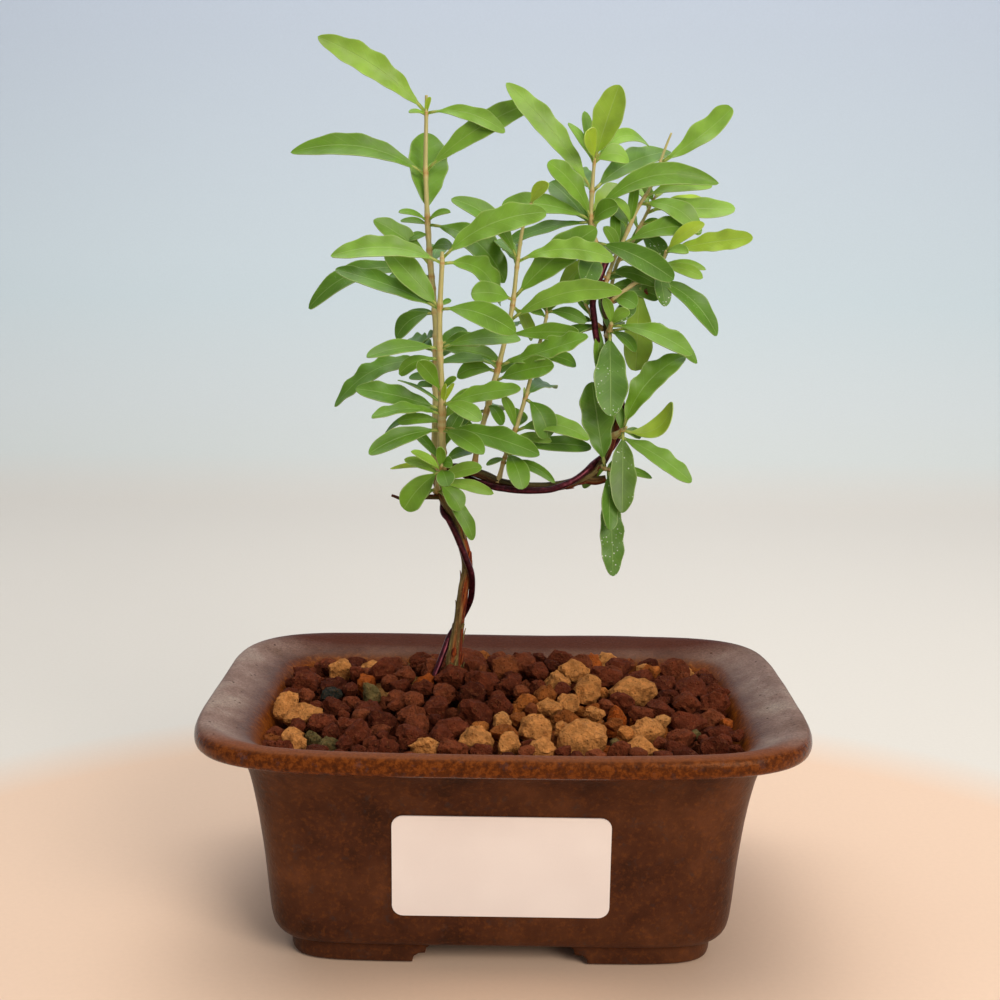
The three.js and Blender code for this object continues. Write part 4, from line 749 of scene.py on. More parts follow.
def glaze_finish():
    """Iron-brown stoneware glaze, brushed thin over red clay and fired. It breaks to rust on edges.

    The eye gets a satin dark brown with rust freckles and blue-grey clouds, a glossier rolled lip,
    and a duller grey-brown slope inside the rim with short drag marks and pinholes. The slope's paler
    grey on its left and right sides is a painted reflection, its brown runs darker towards the back as
    painted shade, and its pinholes are darkened with painted shade.
    """
    finish, shader, add = new_finish(
        "iron_brown_glaze", IOR=1.5, Specular_IOR_Level=0.22, Specular_Tint="#d9a983"
    )
    place = add("TexCoord").outputs["Object"]
    clouds = add("TexNoise", {"Vector": place, "Scale": per_mm(16), "Detail": 5, "Roughness": 0.62})
    freckles = add("TexNoise", {"Vector": place, "Scale": per_mm(1.3), "Detail": 3, "Roughness": 0.7})
    grain = add("TexNoise", {"Vector": place, "Scale": per_mm(0.5), "Detail": 2})
    body = add(
        "ValToRGB",
        {"Fac": clouds},
        stops=[(0.32, "#301a12"), (0.45, "#442518"), (0.56, "#4f2d1c"), (0.68, "#5f3722")],
    )
    rust = add("MapRange", {"Value": freckles, "From Min": 0.5, "From Max": 0.74, "To Max": 0.42})
    body = blend(add, rust, body, "#7a451e")
    blue = add("TexNoise", {"Vector": place, "Scale": per_mm(3.2), "Detail": 4, "Roughness": 0.7})
    haze = add("MapRange", {"Value": blue, "From Min": 0.58, "From Max": 0.72, "To Max": 0.55})
    body = blend(add, haze, body, "#36302f")

    lip, slope, inner, bare = [add("Attribute", attribute_name=zone).outputs["Fac"] for zone in POT_ZONES]
    rolled = add(
        "ValToRGB",
        {"Fac": freckles},
        stops=[(0.3, "#381a0c"), (0.48, "#55280d"), (0.62, "#743b14"), (0.8, "#4d2e1b")],
    )
    faint = add("Math", {0: haze, 1: 0.9}, operation="MULTIPLY")
    rolled = blend(add, faint, rolled, "#3b363d")
    # Painted reflection: on its left and right sides the slope is drawn a paler grey-brown than the glaze's
    # own brown.
    slope_sheen_and_marks = add("ValToRGB", {"Fac": clouds}, stops=[(0.3, "#61483a"), (0.5, "#7b6358"), (0.7, "#938274")])
    stretched = add("Mapping", {"Vector": place, "Scale": (0.16, 1, 1)})
    drags = add("TexNoise", {"Vector": stretched, "Scale": per_mm(0.7), "Detail": 2})
    marks = add("MapRange", {"Value": drags, "From Min": 0.66, "From Max": 0.72, "To Max": 0.6})
    # Painted shade: the pinholes' pits are darkened, together with the drag marks.
    holes = add("TexVoronoi", {"Vector": place, "Scale": per_mm(3.4)})
    pinhole_shade = add("MapRange", {"Value": holes, "From Min": 0.12, "From Max": 0.07})
    marks = add("Math", {0: marks, 1: pinhole_shade}, operation="MAXIMUM")
    slope_sheen_and_marks = blend(add, marks, slope_sheen_and_marks, "#2f170c")
    # Painted shade: along the long sides the slope takes a brown that runs darker towards the back.
    depth = add("SeparateXYZ", {"Vector": place}).outputs["Y"]
    rearward = add("MapRange", {"Value": depth, "From Min": -50 * MM, "From Max": 50 * MM})
    fired = add("ValToRGB", {"Fac": rearward}, stops=[(0.1, "#6a3718"), (0.9, "#42190a")])
    depth = add("Math", {0: depth}, operation="ABSOLUTE")
    long_side = add("MapRange", {"Value": depth, "From Min": 38 * MM, "From Max": 47 * MM, "To Max": 0.97})
    slope_sheen_and_marks = blend(add, long_side, slope_sheen_and_marks, fired)
    slope_sheen_and_marks = shaded(add, slope_sheen_and_marks, grain, 0.78, 1.27)
    inside = add(
        "ValToRGB", {"Fac": freckles}, stops=[(0.35, "#4f2207"), (0.55, "#71380d"), (0.75, "#985614")]
    )
    colour = body
    for zone, look in ((lip, rolled), (slope, slope_sheen_and_marks), (inner, inside), (bare, "#a8603c")):
        colour = blend(add, zone, colour, look)
    fit(shader.inputs["Base Color"], colour)

    gloss = add("MapRange", {"Value": clouds, "To Min": 0.5, "To Max": 0.36})
    for zone, roughness in ((lip, 0.25), (slope, 0.6), (inner, 0.5), (bare, 0.9)):
        gloss = add("Mix", {"Factor": zone, "A": gloss, "B": roughness}, data_type="FLOAT")
    fit(shader.inputs["Roughness"], gloss)
    height = add("Math", {0: grain, 1: 0.35, 2: freckles}, operation="MULTIPLY_ADD")
    dragged = add("Math", {0: marks, 1: slope}, operation="MULTIPLY")
    height = add("Math", {0: height, 1: dragged}, operation="SUBTRACT")
    relief(add, shader, height, strength=0.4, depth=0.35)
    return finish


def label_finish():
    """Coated white label paper, calendered. The eye gets a faintly warm, even white with a soft sheen."""
    finish, shader, add = new_finish("coated_label_paper", IOR=1.5, Roughness=0.45)
    place = add("TexCoord").outputs["Object"]
    pulp = add("TexNoise", {"Vector": place, "Scale": per_mm(0.4), "Detail": 3})
    tint = add("TexNoise", {"Vector": place, "Scale": per_mm(18), "Detail": 2})
    colour = add("ValToRGB", {"Fac": tint}, stops=[(0.3, "#f1e7e2"), (0.7, "#f7eee9")])
    fibre = add("MapRange", {"Value": pulp, "To Max": 0.06})
    fit(shader.inputs["Base Color"], blend(add, fibre, colour, "#b9a79c"))
    relief(add, shader, pulp, strength=0.08, depth=0.05)
    return finish


def mesh_finish():
    """Black polyethylene drain mesh, extruded. The eye gets a dull grey-black with soft smears of dirt."""
    finish, shader, add = new_finish("black_polyethylene", IOR=1.5, Roughness=0.55)
    place = add("TexCoord").outputs["Object"]
    dirt = add("TexNoise", {"Vector": place, "Scale": per_mm(3), "Detail": 4})
    colour = add("ValToRGB", {"Fac": dirt}, stops=[(0.4, "#232523"), (0.7, "#4a3d31")])
    fit(shader.inputs["Base Color"], colour)
    relief(add, shader, dirt, strength=0.2, depth=0.2)
    return finish


def clay_finish(name):
    """Baked clay grains, broken and sieved, dry and porous.

    The eye gets red-brown to tan lumps with pale high spots, partly dust and partly painted highlight,
    pores darkened with painted shade, and no shine at all.
    """
    finish, shader, add = new_finish(name, IOR=1.45, Roughness=0.95, Specular_IOR_Level=0.1)
    place = add("TexCoord").outputs["Object"]
    kind = add("Attribute", attribute_name="kind").outputs["Fac"]
    colour = add(
        "ValToRGB",
        {"Fac": kind},
        stops=[
            (0.0, "#4c2012"), (0.25, "#70341e"), (0.45, "#854528"), (0.55, "#965525"), (0.62, "#a8511b"),
            (0.72, "#c87a3a"), (0.86, "#dfa15e"), (0.93, "#6c5f38"), (1.0, "#2b2d27"),
        ],
    )
    patches = add("TexNoise", {"Vector": place, "Scale": per_mm(2.2), "Detail": 4, "Roughness": 0.65})
    grit = add("TexNoise", {"Vector": place, "Scale": per_mm(0.75), "Detail": 4, "Roughness": 0.75})
    shade = shaded(add, colour, patches, 0.6, 1.3)
    # Painted shade: the pores are darkened in their pits.
    pores = add("TexVoronoi", {"Vector": place, "Scale": per_mm(0.9)})
    pore_shade = add("MapRange", {"Value": pores, "From Min": 0.26, "From Max": 0.08, "To Max": 0.4})
    shade = blend(add, pore_shade, shade, "#2a120a")
    # The paler high spots are partly dust and partly a painted highlight.
    dust_and_highlight = add("MapRange", {"Value": grit, "From Min": 0.55, "From Max": 0.72, "To Max": 0.35})
    shade = blend(add, dust_and_highlight, shade, "#bb7b4c")
    fit(shader.inputs["Base Color"], shade)
    height = add("Math", {0: grit, 1: 1.1, 2: patches}, operation="MULTIPLY_ADD")
    height = add("Math", {0: height, 1: pore_shade}, operation="SUBTRACT")
    relief(add, shader, height, strength=1.0, depth=1.3)
    return finish


def bark_finish():
    """Thin pomegranate bark, grown in long strips that split and peel.

    The eye gets olive and tan strips along the wood, with red-brown where the old bark has come away,
    and painted shade that darkens the wood where it runs under the leaves.
    """
    finish, shader, add = new_finish(
        "peeling_pomegranate_bark", IOR=1.45, Roughness=0.68, Specular_IOR_Level=0.3
    )
    along = add("Attribute", attribute_name="fibre").outputs["Vector"]
    held = add("Attribute", attribute_name="held").outputs["Fac"]
    strips = add("Mapping", {"Vector": along, "Scale": (1, 1, 0.1)})
    stripe = add("TexNoise", {"Vector": strips, "Scale": 1.6, "Detail": 4, "Roughness": 0.65})
    fibres = add("TexNoise", {"Vector": strips, "Scale": 5, "Detail": 3, "Roughness": 0.7})
    flecks = add("TexNoise", {"Vector": along, "Scale": 1.6, "Detail": 3})
    old = add("ValToRGB", {"Fac": stripe}, stops=[(0.3, "#43321b"), (0.48, "#7a6536"), (0.66, "#a89458")])
    fresh = add("ValToRGB", {"Fac": stripe}, stops=[(0.3, "#2c0f08"), (0.46, "#7c2c10"), (0.62, "#b8581f")])
    colour = blend(add, held, fresh, old)
    shade = shaded(add, colour, fibres, 0.5, 1.3)
    scale = add("MapRange", {"Value": flecks, "From Min": 0.6, "From Max": 0.72, "To Max": 0.5})
    shade = blend(add, scale, shade, "#b89a62")
    # Painted shade: the bark is dimmed where the wood runs under the leaves.
    canopy_shade = add("Attribute", attribute_name="canopy_shade").outputs["Fac"]
    dim = add("MapRange", {"Value": canopy_shade, "To Min": 1, "To Max": 0.3})
    shade = add("VectorMath", {0: shade, "Scale": dim}, operation="SCALE")
    fit(shader.inputs["Base Color"], shade)
    height = add("Math", {0: fibres, 1: 0.5, 2: stripe}, operation="MULTIPLY_ADD")
    relief(add, shader, height, strength=0.9, depth=0.6)
    return finish


def wire_finish():
    """Soft aluminium training wire, drawn and brown-anodised.

    The eye gets a dark wine-brown skin over bright metal, glossy along its length and faintly scuffed.
    """
    finish, shader, add = new_finish("brown_anodised_aluminium", Metallic=0.75)
    place = add("TexCoord").outputs["Object"]
    scuffs = add("TexNoise", {"Vector": place, "Scale": per_mm(0.9), "Detail": 4})
    colour = add("ValToRGB", {"Fac": scuffs}, stops=[(0.35, "#351016"), (0.6, "#561d28"), (0.8, "#80404c")])
    fit(shader.inputs["Base Color"], colour)
    rough = add("MapRange", {"Value": scuffs, "To Min": 0.24, "To Max": 0.44})
    fit(shader.inputs["Roughness"], rough)
    relief(add, shader, scuffs, strength=0.12, depth=0.1)
    return finish


def leaf_finish(name, tones, roughness, shine, vein_share):
    """A pomegranate leaf, thin and firm, with a waxy skin.

    The eye gets a satin green that runs from yellow on the young leaves to blue-green on the old, made
    lighter or darker here and there by painted light and shade, a fine pale midrib with faint side veins,
    a pale painted highlight along the margins, and white lime specks where the old leaves were watered.
    """
    finish, shader, add = new_finish(
        name,
        IOR=1.42,
        Specular_IOR_Level=shine,
        Subsurface_Weight=0.15,
        Subsurface_Radius=(0.5, 1.0, 0.12),
        Subsurface_Scale=0.6 * MM,
    )
    coordinates = add("TexCoord")
    place = coordinates.outputs["Object"]
    tone = add("Attribute", attribute_name="tone").outputs["Fac"]
    colour = add("ValToRGB", {"Fac": tone}, stops=tones)
    mottle = add("TexNoise", {"Vector": place, "Scale": per_mm(6), "Detail": 3})
    colour = shaded(add, colour, mottle, 0.82, 1.16)

    uv = add("SeparateXYZ", {"Vector": coordinates.outputs["UV"]})
    offset = add("Math", {0: uv.outputs["X"], 1: 0.5}, operation="SUBTRACT")
    across = add("Math", {0: offset}, operation="ABSOLUTE")
    slant = add("Math", {0: across, 1: -0.24, 2: uv.outputs["Y"]}, operation="MULTIPLY_ADD")
    wobble = add("Math", {0: mottle, 1: 0.03, 2: slant}, operation="MULTIPLY_ADD")
    turns = add("Math", {0: wobble, 1: 11 * TAU}, operation="MULTIPLY")
    wave = add("Math", {0: turns}, operation="SINE")
    side_vein = add(
        "MapRange", {"Value": wave, "From Min": 0.86, "From Max": 1, "To Max": 0.05 * vein_share}
    )
    midrib = add(
        "MapRange", {"Value": across, "From Min": 0.028, "From Max": 0.008, "To Max": 0.3 * vein_share}
    )
    veins = add("Math", {0: side_vein, 1: midrib}, operation="MAXIMUM")
    colour = blend(add, veins, colour, "#a9c573")
    # Painted highlight: a pale band along the leaf's margins.
    margin = add("MapRange", {"Value": across, "From Min": 0.45, "From Max": 0.495, "To Max": 0.4})
    colour = blend(add, margin, colour, "#bccd86")

    old = add("MapRange", {"Value": tone, "From Min": 0.62, "From Max": 0.8})
    specks = add("TexVoronoi", {"Vector": place, "Scale": per_mm(0.9)})
    speck = add("MapRange", {"Value": specks, "From Min": 0.22, "From Max": 0.12})
    where = add("MapRange", {"Value": mottle, "From Min": 0.5, "From Max": 0.6})
    speck = add("Math", {0: speck, 1: where}, operation="MULTIPLY")
    speck = add("Math", {0: speck, 1: old}, operation="MULTIPLY")
    colour = blend(add, speck, colour, "#d9e0cf")
    fit(shader.inputs["Base Color"], colour)
    rough = add("MapRange", {"Value": mottle, "To Min": roughness - 0.06, "To Max": roughness + 0.08})
    fit(shader.inputs["Roughness"], rough)
    height = add("Math", {0: veins, 1: -2.5, 2: mottle}, operation="MULTIPLY_ADD")
    relief(add, shader, height, strength=0.3, depth=0.3)
    return finish


def stem_finish():
    """Young pomegranate stems and stalks, smooth with fine ribs.

    The eye gets yellow-green stalks, straw-coloured stems and orange-brown rings at the nodes.
    """
    finish, shader, add = new_finish(
        "young_pomegranate_stem", IOR=1.45, Roughness=0.5, Specular_IOR_Level=0.35
    )
    ripe = add("Attribute", attribute_name="ripe").outputs["Fac"]
    along = add("Attribute", attribute_name="fibre").outputs["Vector"]
    ribs = add("Mapping", {"Vector": along, "Scale": (1, 1, 0.08)})
    fibres = add("TexNoise", {"Vector": ribs, "Scale": 2.6, "Detail": 3, "Roughness": 0.6})
    flecks = add("TexNoise", {"Vector": along, "Scale": 1.3, "Detail": 3})
    uneven = add("Math", {0: flecks, 1: 0.24, 2: ripe}, operation="MULTIPLY_ADD")
    uneven = add("Math", {0: uneven, 1: 0.12}, operation="SUBTRACT")
    colour = add(
        "ValToRGB",
        {"Fac": uneven},
        stops=[
            (0.0, "#93a847"), (0.2, "#b3b262"), (0.4, "#cbbb80"), (0.6, "#c3a465"), (0.8, "#a8672a"),
            (1.0, "#66371d"),
        ],
    )
    shade = shaded(add, colour, fibres, 0.74, 1.14)
    fit(shader.inputs["Base Color"], shade)
    relief(add, shader, fibres, strength=0.4, depth=0.2)
    return finish


# ---------------------------------------------------------------- pot


def rounded(rows):
    """Rows of a profile with their corners cut back twice, so that it runs smoothly between its ends."""
    for _ in range(2):
        inner = []
        for low, high in zip(rows, rows[1:]):
            inner += [[mix(a, b, share) for a, b in zip(low, high)] for share in (0.25, 0.75)]
        rows = [rows[0], *inner, rows[-1]]
    return rows


def soft_rectangle(row, u):
    """A point of a soft rectangle, u running once round it from the right, closest at the corners."""
    half_width, half_depth, height, squareness = row
    side = int(u * 4) % 4
    along = math.sin((u * 4 - int(u * 4)) * math.pi - math.pi / 2)
    x, y = [(1, along), (-along, 1), (-1, -along), (along, -1)][side]
    reach = (abs(x) ** squareness + abs(y) ** squareness) ** (-1 / squareness)
    return Vector((half_width * x * reach, half_depth * y * reach, height))


def pot_zones(height, inside):
    """How far a row belongs to the rolled lip, the slope inside the rim, the inner wall and bare clay."""
    lip = 0 if inside else passed(LIP_HEIGHTS, height)
    slope = passed(SLOPE_HEIGHTS if inside else RIM_TOP_HEIGHTS, height)
    inner = passed(INNER_HEIGHTS, height) if inside else 0
    return lip, slope, inner, float(height < BARE_CLAY_TOP)


def pot_form(bm, rows, inside_from=math.inf):
    """A closed form of soft rectangles. Its rows face the pot's inside from that share of them on."""
    rows = rounded(rows)
    last = len(rows) - 1

    def rule(corner, u, v):
        row = round(v * last)
        corner.co = soft_rectangle(rows[row], u)
        dent = sum(noise.noise(corner.co / width) * depth for width, depth in POT_DENTS) - POT_INSET
        corner.co *= 1 + dent / DENTS_AT
        sag = passed(RIM_SAG_HEIGHTS, corner.co.z) * max(1 - (corner.co.x / RIM_SAG_REACH) ** 2, 0)
        corner.co.z -= RIM_SAG * sag
        for zone, value in zip(POT_ZONES, pot_zones(rows[row][2], row >= inside_from * last)):
            corner[bm.verts.layers.float[zone]] = value

    bent_sheet(bm, POT_STEPS, last, rule)


def gap_cutter(bm, half_width, length):
    """A bar along y with the outline of the opening between two feet."""
    left = [(x - half_width, z) for x, z in FOOT_GAP_EDGE]
    outline = left + [(-x, z) for x, z in left[::-1]]
    end = bm.faces.new([bm.verts.new((x, -length / 2, z)) for x, z in outline])
    grown = bmesh.ops.extrude_face_region(bm, geom=[end])["geom"]
    far = [part for part in grown if isinstance(part, bmesh.types.BMVert)]
    bmesh.ops.translate(bm, vec=(0, length, 0), verts=far)


def make_pot():
    """The body and its foot ring, joined, then cut by the openings between the feet and the drain holes."""
    body = new_shape(*POT_ZONES)
    profile = POT_OUTSIDE + POT_INSIDE
    pot_form(body, profile, len(POT_OUTSIDE) / len(profile))
    ring = new_shape(*POT_ZONES)
    pot_form(ring, [*FOOT_RING, FOOT_RING[0]])
    gaps = [new_shape(*POT_ZONES) for _ in range(2)]
    gap_cutter(gaps[0], FOOT_GAP_FRONT, length=100)
    gap_cutter(gaps[1], FOOT_GAP_SIDE, length=140)
    bmesh.ops.rotate(gaps[1], verts=gaps[1].verts, matrix=Matrix.Rotation(math.pi / 2, 3, "Z"))
    drains = [new_shape(*POT_ZONES) for _ in range(2)]
    for drain, x in zip(drains, (-DRAIN_X, DRAIN_X)):
        bmesh.ops.create_cone(
            drain,
            cap_ends=True,
            segments=40,
            radius1=DRAIN_RADIUS,
            radius2=DRAIN_RADIUS,
            depth=DRAIN_CUT[1],
            matrix=Matrix.Translation((x, 0, DRAIN_CUT[0])),
        )
    cutters = gaps + drains
    for cutter in cutters:
        bmesh.ops.recalc_face_normals(cutter, faces=cutter.faces)
    finish = glaze_finish()
    pot = to_object(body, "pot_glazed", finish)
    ring = to_object(ring, "foot_ring", finish)
    tools = [to_object(cutter, f"cutter_{i}", finish) for i, cutter in enumerate(cutters)]
    for tool in tools[: len(gaps)]:
        cut(ring, tool, "DIFFERENCE")
    cut(pot, ring, "UNION")
    for tool in tools[len(gaps) :]:
        cut(pot, tool, "DIFFERENCE")
    settle(pot)
    for tool in [ring, *tools]:
        bpy.data.objects.remove(tool)
    stand_for(pot, "pot")


def wall_depth(height):
    """Half depth of the pot's front wall at a height."""
    outside = rounded(POT_OUTSIDE)
    return between([(level, depth) for _, depth, level, _ in outside if level > POT_UNDERSIDE], height)


def make_label():
    """A blank stock label: a sheet with rounded corners, pressed onto the leaning wall."""
    bm = new_shape()
    grid = bmesh.ops.create_grid(bm, x_segments=1, y_segments=1, size=0.5, calc_uvs=True)
    for corner in grid["verts"]:
        corner.co = (corner.co.x * LABEL_WIDTH, 0, LABEL_BOTTOM + (0.5 + corner.co.y) * LABEL_HEIGHT)
    bmesh.ops.bevel(
        bm,
        geom=bm.verts[:],
        offset=LABEL_CORNER,
        affect="VERTICES",
        segments=6,
        profile=0.5,
        material=-1,
    )
    for i in range(1, LABEL_BANDS):
        level = LABEL_BOTTOM + i * LABEL_HEIGHT / LABEL_BANDS
        parts = bm.verts[:] + bm.edges[:] + bm.faces[:]
        bmesh.ops.bisect_plane(bm, geom=parts, plane_co=(0, 0, level), plane_no=(0, 0, 1))
    bmesh.ops.recalc_face_normals(bm, faces=bm.faces)
    if bm.faces[0].normal.y > 0:
        bmesh.ops.reverse_faces(bm, faces=bm.faces)
    for corner in bm.verts:
        corner.co.y = -wall_depth(corner.co.z) - LABEL_PROUD
    front = set(bmesh.ops.extrude_face_region(bm, geom=bm.faces[:])["geom"])
    back = [corner for corner in bm.verts if corner not in front]
    bmesh.ops.translate(bm, vec=(0, LABEL_THICKNESS, 0), verts=back)
    bmesh.ops.recalc_face_normals(bm, faces=bm.faces)
    label = to_object(bm, "label_paper", label_finish(), smooth=False)
    stand_for(label, "label")


def dress_drain_meshes():
    """The two squares of mesh over the drain holes keep their CAD shape."""
    finish = mesh_finish()
    for node in ("drain_mesh_left", "drain_mesh_right"):
        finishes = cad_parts[node].data.materials
        finishes.clear()
        finishes.append(finish)


# ---------------------------------------------------------------- wood and wire


def wood_limb(bm, points, sides, steps, seed, shade_rows):
    """A limb of the wood, whose old bark stands a little proud of the wood that it has peeled from."""
    path = Path(points)
    run = path.length()
    held = bm.verts.layers.float["held"]
    canopy_shade = bm.verts.layers.float["canopy_shade"]
    fibre = bm.verts.layers.float_vector["fibre"]

    def uneven(t, angle, kind):
        around, along = kind
        spot = (math.cos(angle) * around, math.sin(angle) * around, t * run / along + seed)
        return noise.noise(Vector(spot))

    def old_bark(t, angle):
        strips = uneven(t, angle, BARK_STRIPS) * STRIP_CONTRAST
        return clamp(BARK_LEFT + strips - PEELED_SIDE * math.sin(angle))

    def thick(t, angle):
        rough = RIDGE_RISE * uneven(t, angle, WOOD_RIDGES) + KNOT_RISE * uneven(t, angle, WOOD_KNOTS)
        return path.radius(t) * (PEELED_WOOD + BARK_RISE * old_bark(t, angle) + rough)

    def marks(corner, t, angle):
        corner[held] = old_bark(t, angle)
        # Painted shade along the wood.
        corner[canopy_shade] = between(shade_rows, t)
        across = (math.cos(angle) * FIBRE_SPREAD, math.sin(angle) * FIBRE_SPREAD)
        corner[fibre] = (*across, t * run + seed * 10)

    tube(bm, path, sides, steps, thick, marks)


def bark_curl(bm, path, t, dice):
    """A curl of loose bark: a thin strip held at its foot and lifted at its free end."""
    angle = dice.uniform(0, TAU)
    length, width = dice.uniform(*CURL_LENGTH), dice.uniform(*CURL_WIDTH)
    ahead, front, side = path.axes(t)
    out = front * math.cos(angle) + side * math.sin(angle)
    over = ahead.cross(out)
    foot = path.at(t) + out * path.radius(t) * CURL_SINK
    lift = dice.uniform(*CURL_LIFT)
    seed = dice.random() * 50
    age = dice.choice((0, 1))
    held = bm.verts.layers.float["held"]
    canopy_shade = bm.verts.layers.float["canopy_shade"]
    fibre = bm.verts.layers.float_vector["fibre"]

    def rule(corner, u, v):
        turn = u * TAU
        taper = (1 - CURL_TAPER * v) * (CURL_ENDS if v in (0, 1) else 1)
        outward = lift * v * v + math.sin(turn) * CURL_THICKNESS / 2
        sideways = math.cos(turn) * width / 2 * taper
        corner.co = foot + ahead * length * v + out * outward + over * sideways
        corner[fibre] = (u * 2, seed, v * length)
        corner[held] = age
        # Curls on the branch get painted shade too.
        corner[canopy_shade] = 0.4 if t > BRANCH_START else 0

    bent_sheet(bm, 6, 4, rule)


def make_trunk():
    bm = new_shape("held", "canopy_shade", vector="fibre")
    for limb in LIMBS:
        wood_limb(bm, *limb)
    dice = random.Random(CURL_SEED)
    wood = Path(TRUNK)
    for _ in range(LOW_CURLS):
        bark_curl(bm, wood, dice.uniform(*LOW_STRETCH), dice)
    for t in SINGLE_CURLS:
        bark_curl(bm, wood, t, dice)
    bmesh.ops.holes_fill(bm, edges=[edge for edge in bm.edges if edge.is_boundary], sides=8)
    trunk = to_object(bm, "trunk_bark", bark_finish())
    stand_for(trunk, "trunk")


def make_wire():
    """The wire rises straight from the soil to the trunk, winds round the wood and then stands off it."""
    wood = Path(TRUNK)

    def winding(t):
        turn = between(WIRE_TURNS, t) * TAU
        _, front, side = wood.axes(t)
        out = front * math.cos(turn) - side * math.sin(turn)
        return wood.at(t) + out * (wood.radius(t) + WIRE_RADIUS)

    start, end = WIRE_TURNS[0][0], WIRE_TURNS[-1][0]
    places = [WIRE_FOOT.lerp(winding(start), i / RISING_POINTS) for i in range(RISING_POINTS)]
    places += [winding(mix(start, end, i / WINDING_POINTS)) for i in range(WINDING_POINTS + 1)]
    loose_end = Path([[*place, 0] for place in (places[-1], *WIRE_END)])
    places += [loose_end.at((i + 1) / LOOSE_POINTS) for i in range(LOOSE_POINTS)]
    bm = new_shape()
    path = Path([[*place, WIRE_RADIUS] for place in places])
    tube(bm, path, WIRE_SIDES, WIRE_STEPS, lambda t, angle: WIRE_RADIUS)
    wire = to_object(bm, "training_wire_anodised", wire_finish())
    stand_for(wire, "training_wire")


# ---------------------------------------------------------------- leaves


class Leaf:
    """One leaf's place: it runs from the middle of its stem to its tip, arching and turned by its roll."""

    def __init__(self, stem, row, dice):
        self.place, x, y, z, width, self.arch, roll, self.tone = row
        self.width = width * LEAF_SPREAD
        middle = stem.at(self.place)
        tip = Vector((x, y, z))
        forward = (tip - middle).normalized()
        self.start = middle + forward * stem.radius(self.place) * LEAF_START
        self.run = tip - self.start
        self.length = self.run.length
        self.up = square_to(forward, LEAF_UP)
        turn = Quaternion(forward, math.radians(roll * ROLL_SHARE + dice.uniform(*LEAF_ROLL)))
        self.normal = turn @ square_to(forward, LEAF_FACING)
        self.side = self.normal.cross(forward)
        self.stalk = min(LONGEST_STALK, STALK_LENGTH / self.length) if width > BUD_WIDTH else BUD_STALK
        slim = passed(SLIM_LEAF, self.length / self.width)
        self.fullness = dice.uniform(*LEAF_FULLNESS)
        self.bluntness = dice.uniform(*LEAF_BLUNTNESS) + SLIM_BLUNTNESS * slim
        self.cup = dice.uniform(*LEAF_CUP)
        self.wave = dice.uniform(*LEAF_WAVE) * min(1, self.length / WAVY_LEAF)
        self.waves = dice.uniform(*LEAF_WAVES) * self.length
        self.phases = (dice.uniform(0, TAU), dice.uniform(0, TAU))
        self.twist = dice.uniform(*LEAF_TWIST)
        self.droop = dice.uniform(*LEAF_DROOP)

    def half_width(self, s):
        """Half the blade's width at s, or that of its narrow foot along the stalk."""
        along = (s - self.stalk) / (1 - self.stalk)
        narrow = min(BLADE_FOOT[0], self.width * BLADE_FOOT[1])
        if along <= 0:
            return narrow
        peak = self.fullness / (self.fullness + self.bluntness)
        full = (along / peak) ** self.fullness * (max(1 - along, 0) / (1 - peak)) ** self.bluntness
        return max(full * self.width / 2, narrow * (1 - along) ** 0.5)

    def middle(self, s):
        """The leaf's middle line: it arches between its ends and droops past its middle."""
        bow = 4 * s * (1 - s)
        droop = self.droop * self.length * s**2
        return self.start + self.run * s + self.up * (self.arch * bow) - self.normal * (droop * bow)

    def at(self, s, across):
        """A point of the blade: s along it, and across from one margin, -1, to the other, 1."""
        turn = self.twist * s
        side = self.side * math.cos(turn) + self.normal * math.sin(turn)
        normal = self.normal * math.cos(turn) - self.side * math.sin(turn)
        phase = self.phases[0 if across < 0 else 1]
        ripple = self.wave * min(1, 6 * s * (1 - s))
        half = self.half_width(s) * (1 + ripple * math.sin(s * self.waves + phase))
        edge = across * across * ripple * self.width * math.cos(s * self.waves * 0.9 + phase)
        rise = abs(across) ** 1.2 * half * 2 * self.cup + edge
        return self.middle(s) + side * (across * half) + normal * rise


def spaced(v):
    """Closer steps at both ends of a leaf."""
    return 0.4 * v + 0.3 * (1 - math.cos(v * math.pi))


def leaf_blade(bm, leaf, tone):
    layer = bm.verts.layers.float["tone"]

    def rule(corner, u, v):
        corner.co = leaf.at(spaced(v), 1 - 2 * u)
        corner[layer] = tone

    bent_sheet(bm, LEAF_COLUMNS, SMALL_LEAF_ROWS if leaf.width < SMALL_LEAF else LEAF_ROWS, rule)


def leaf_stalk(bm, leaf):
    """The stalk, running on as the rib under the blade."""
    thick = STALK_RADIUS[0] + STALK_RADIUS[1] * leaf.width
    ripe = bm.verts.layers.float["ripe"]
    fibre = bm.verts.layers.float_vector["fibre"]
    seed = leaf.length * 7
    blade_start = (leaf.stalk + STALK_FADE, leaf.stalk)

    def rule(corner, u, v):
        s = v * RIB_END
        angle = u * TAU
        free = passed(blade_start, s)
        radius = mix(RIB_RADIUS * (1 - v), thick, free) * (0 if v > 0.999 or v < 1e-3 else 1)
        middle = leaf.middle(s) - leaf.normal * mix(LEAF_THICKNESS + radius * 0.7, radius * 0.3, free)
        corner.co = middle + (leaf.side * math.cos(angle) - leaf.normal * math.sin(angle)) * radius
        corner[ripe] = mix(*STALK_RIPENESS, min(1, s * 8))
        corner[fibre] = (math.cos(angle) + seed, math.sin(angle), s * leaf.length)

    bent_sheet(bm, 6, 12, rule)


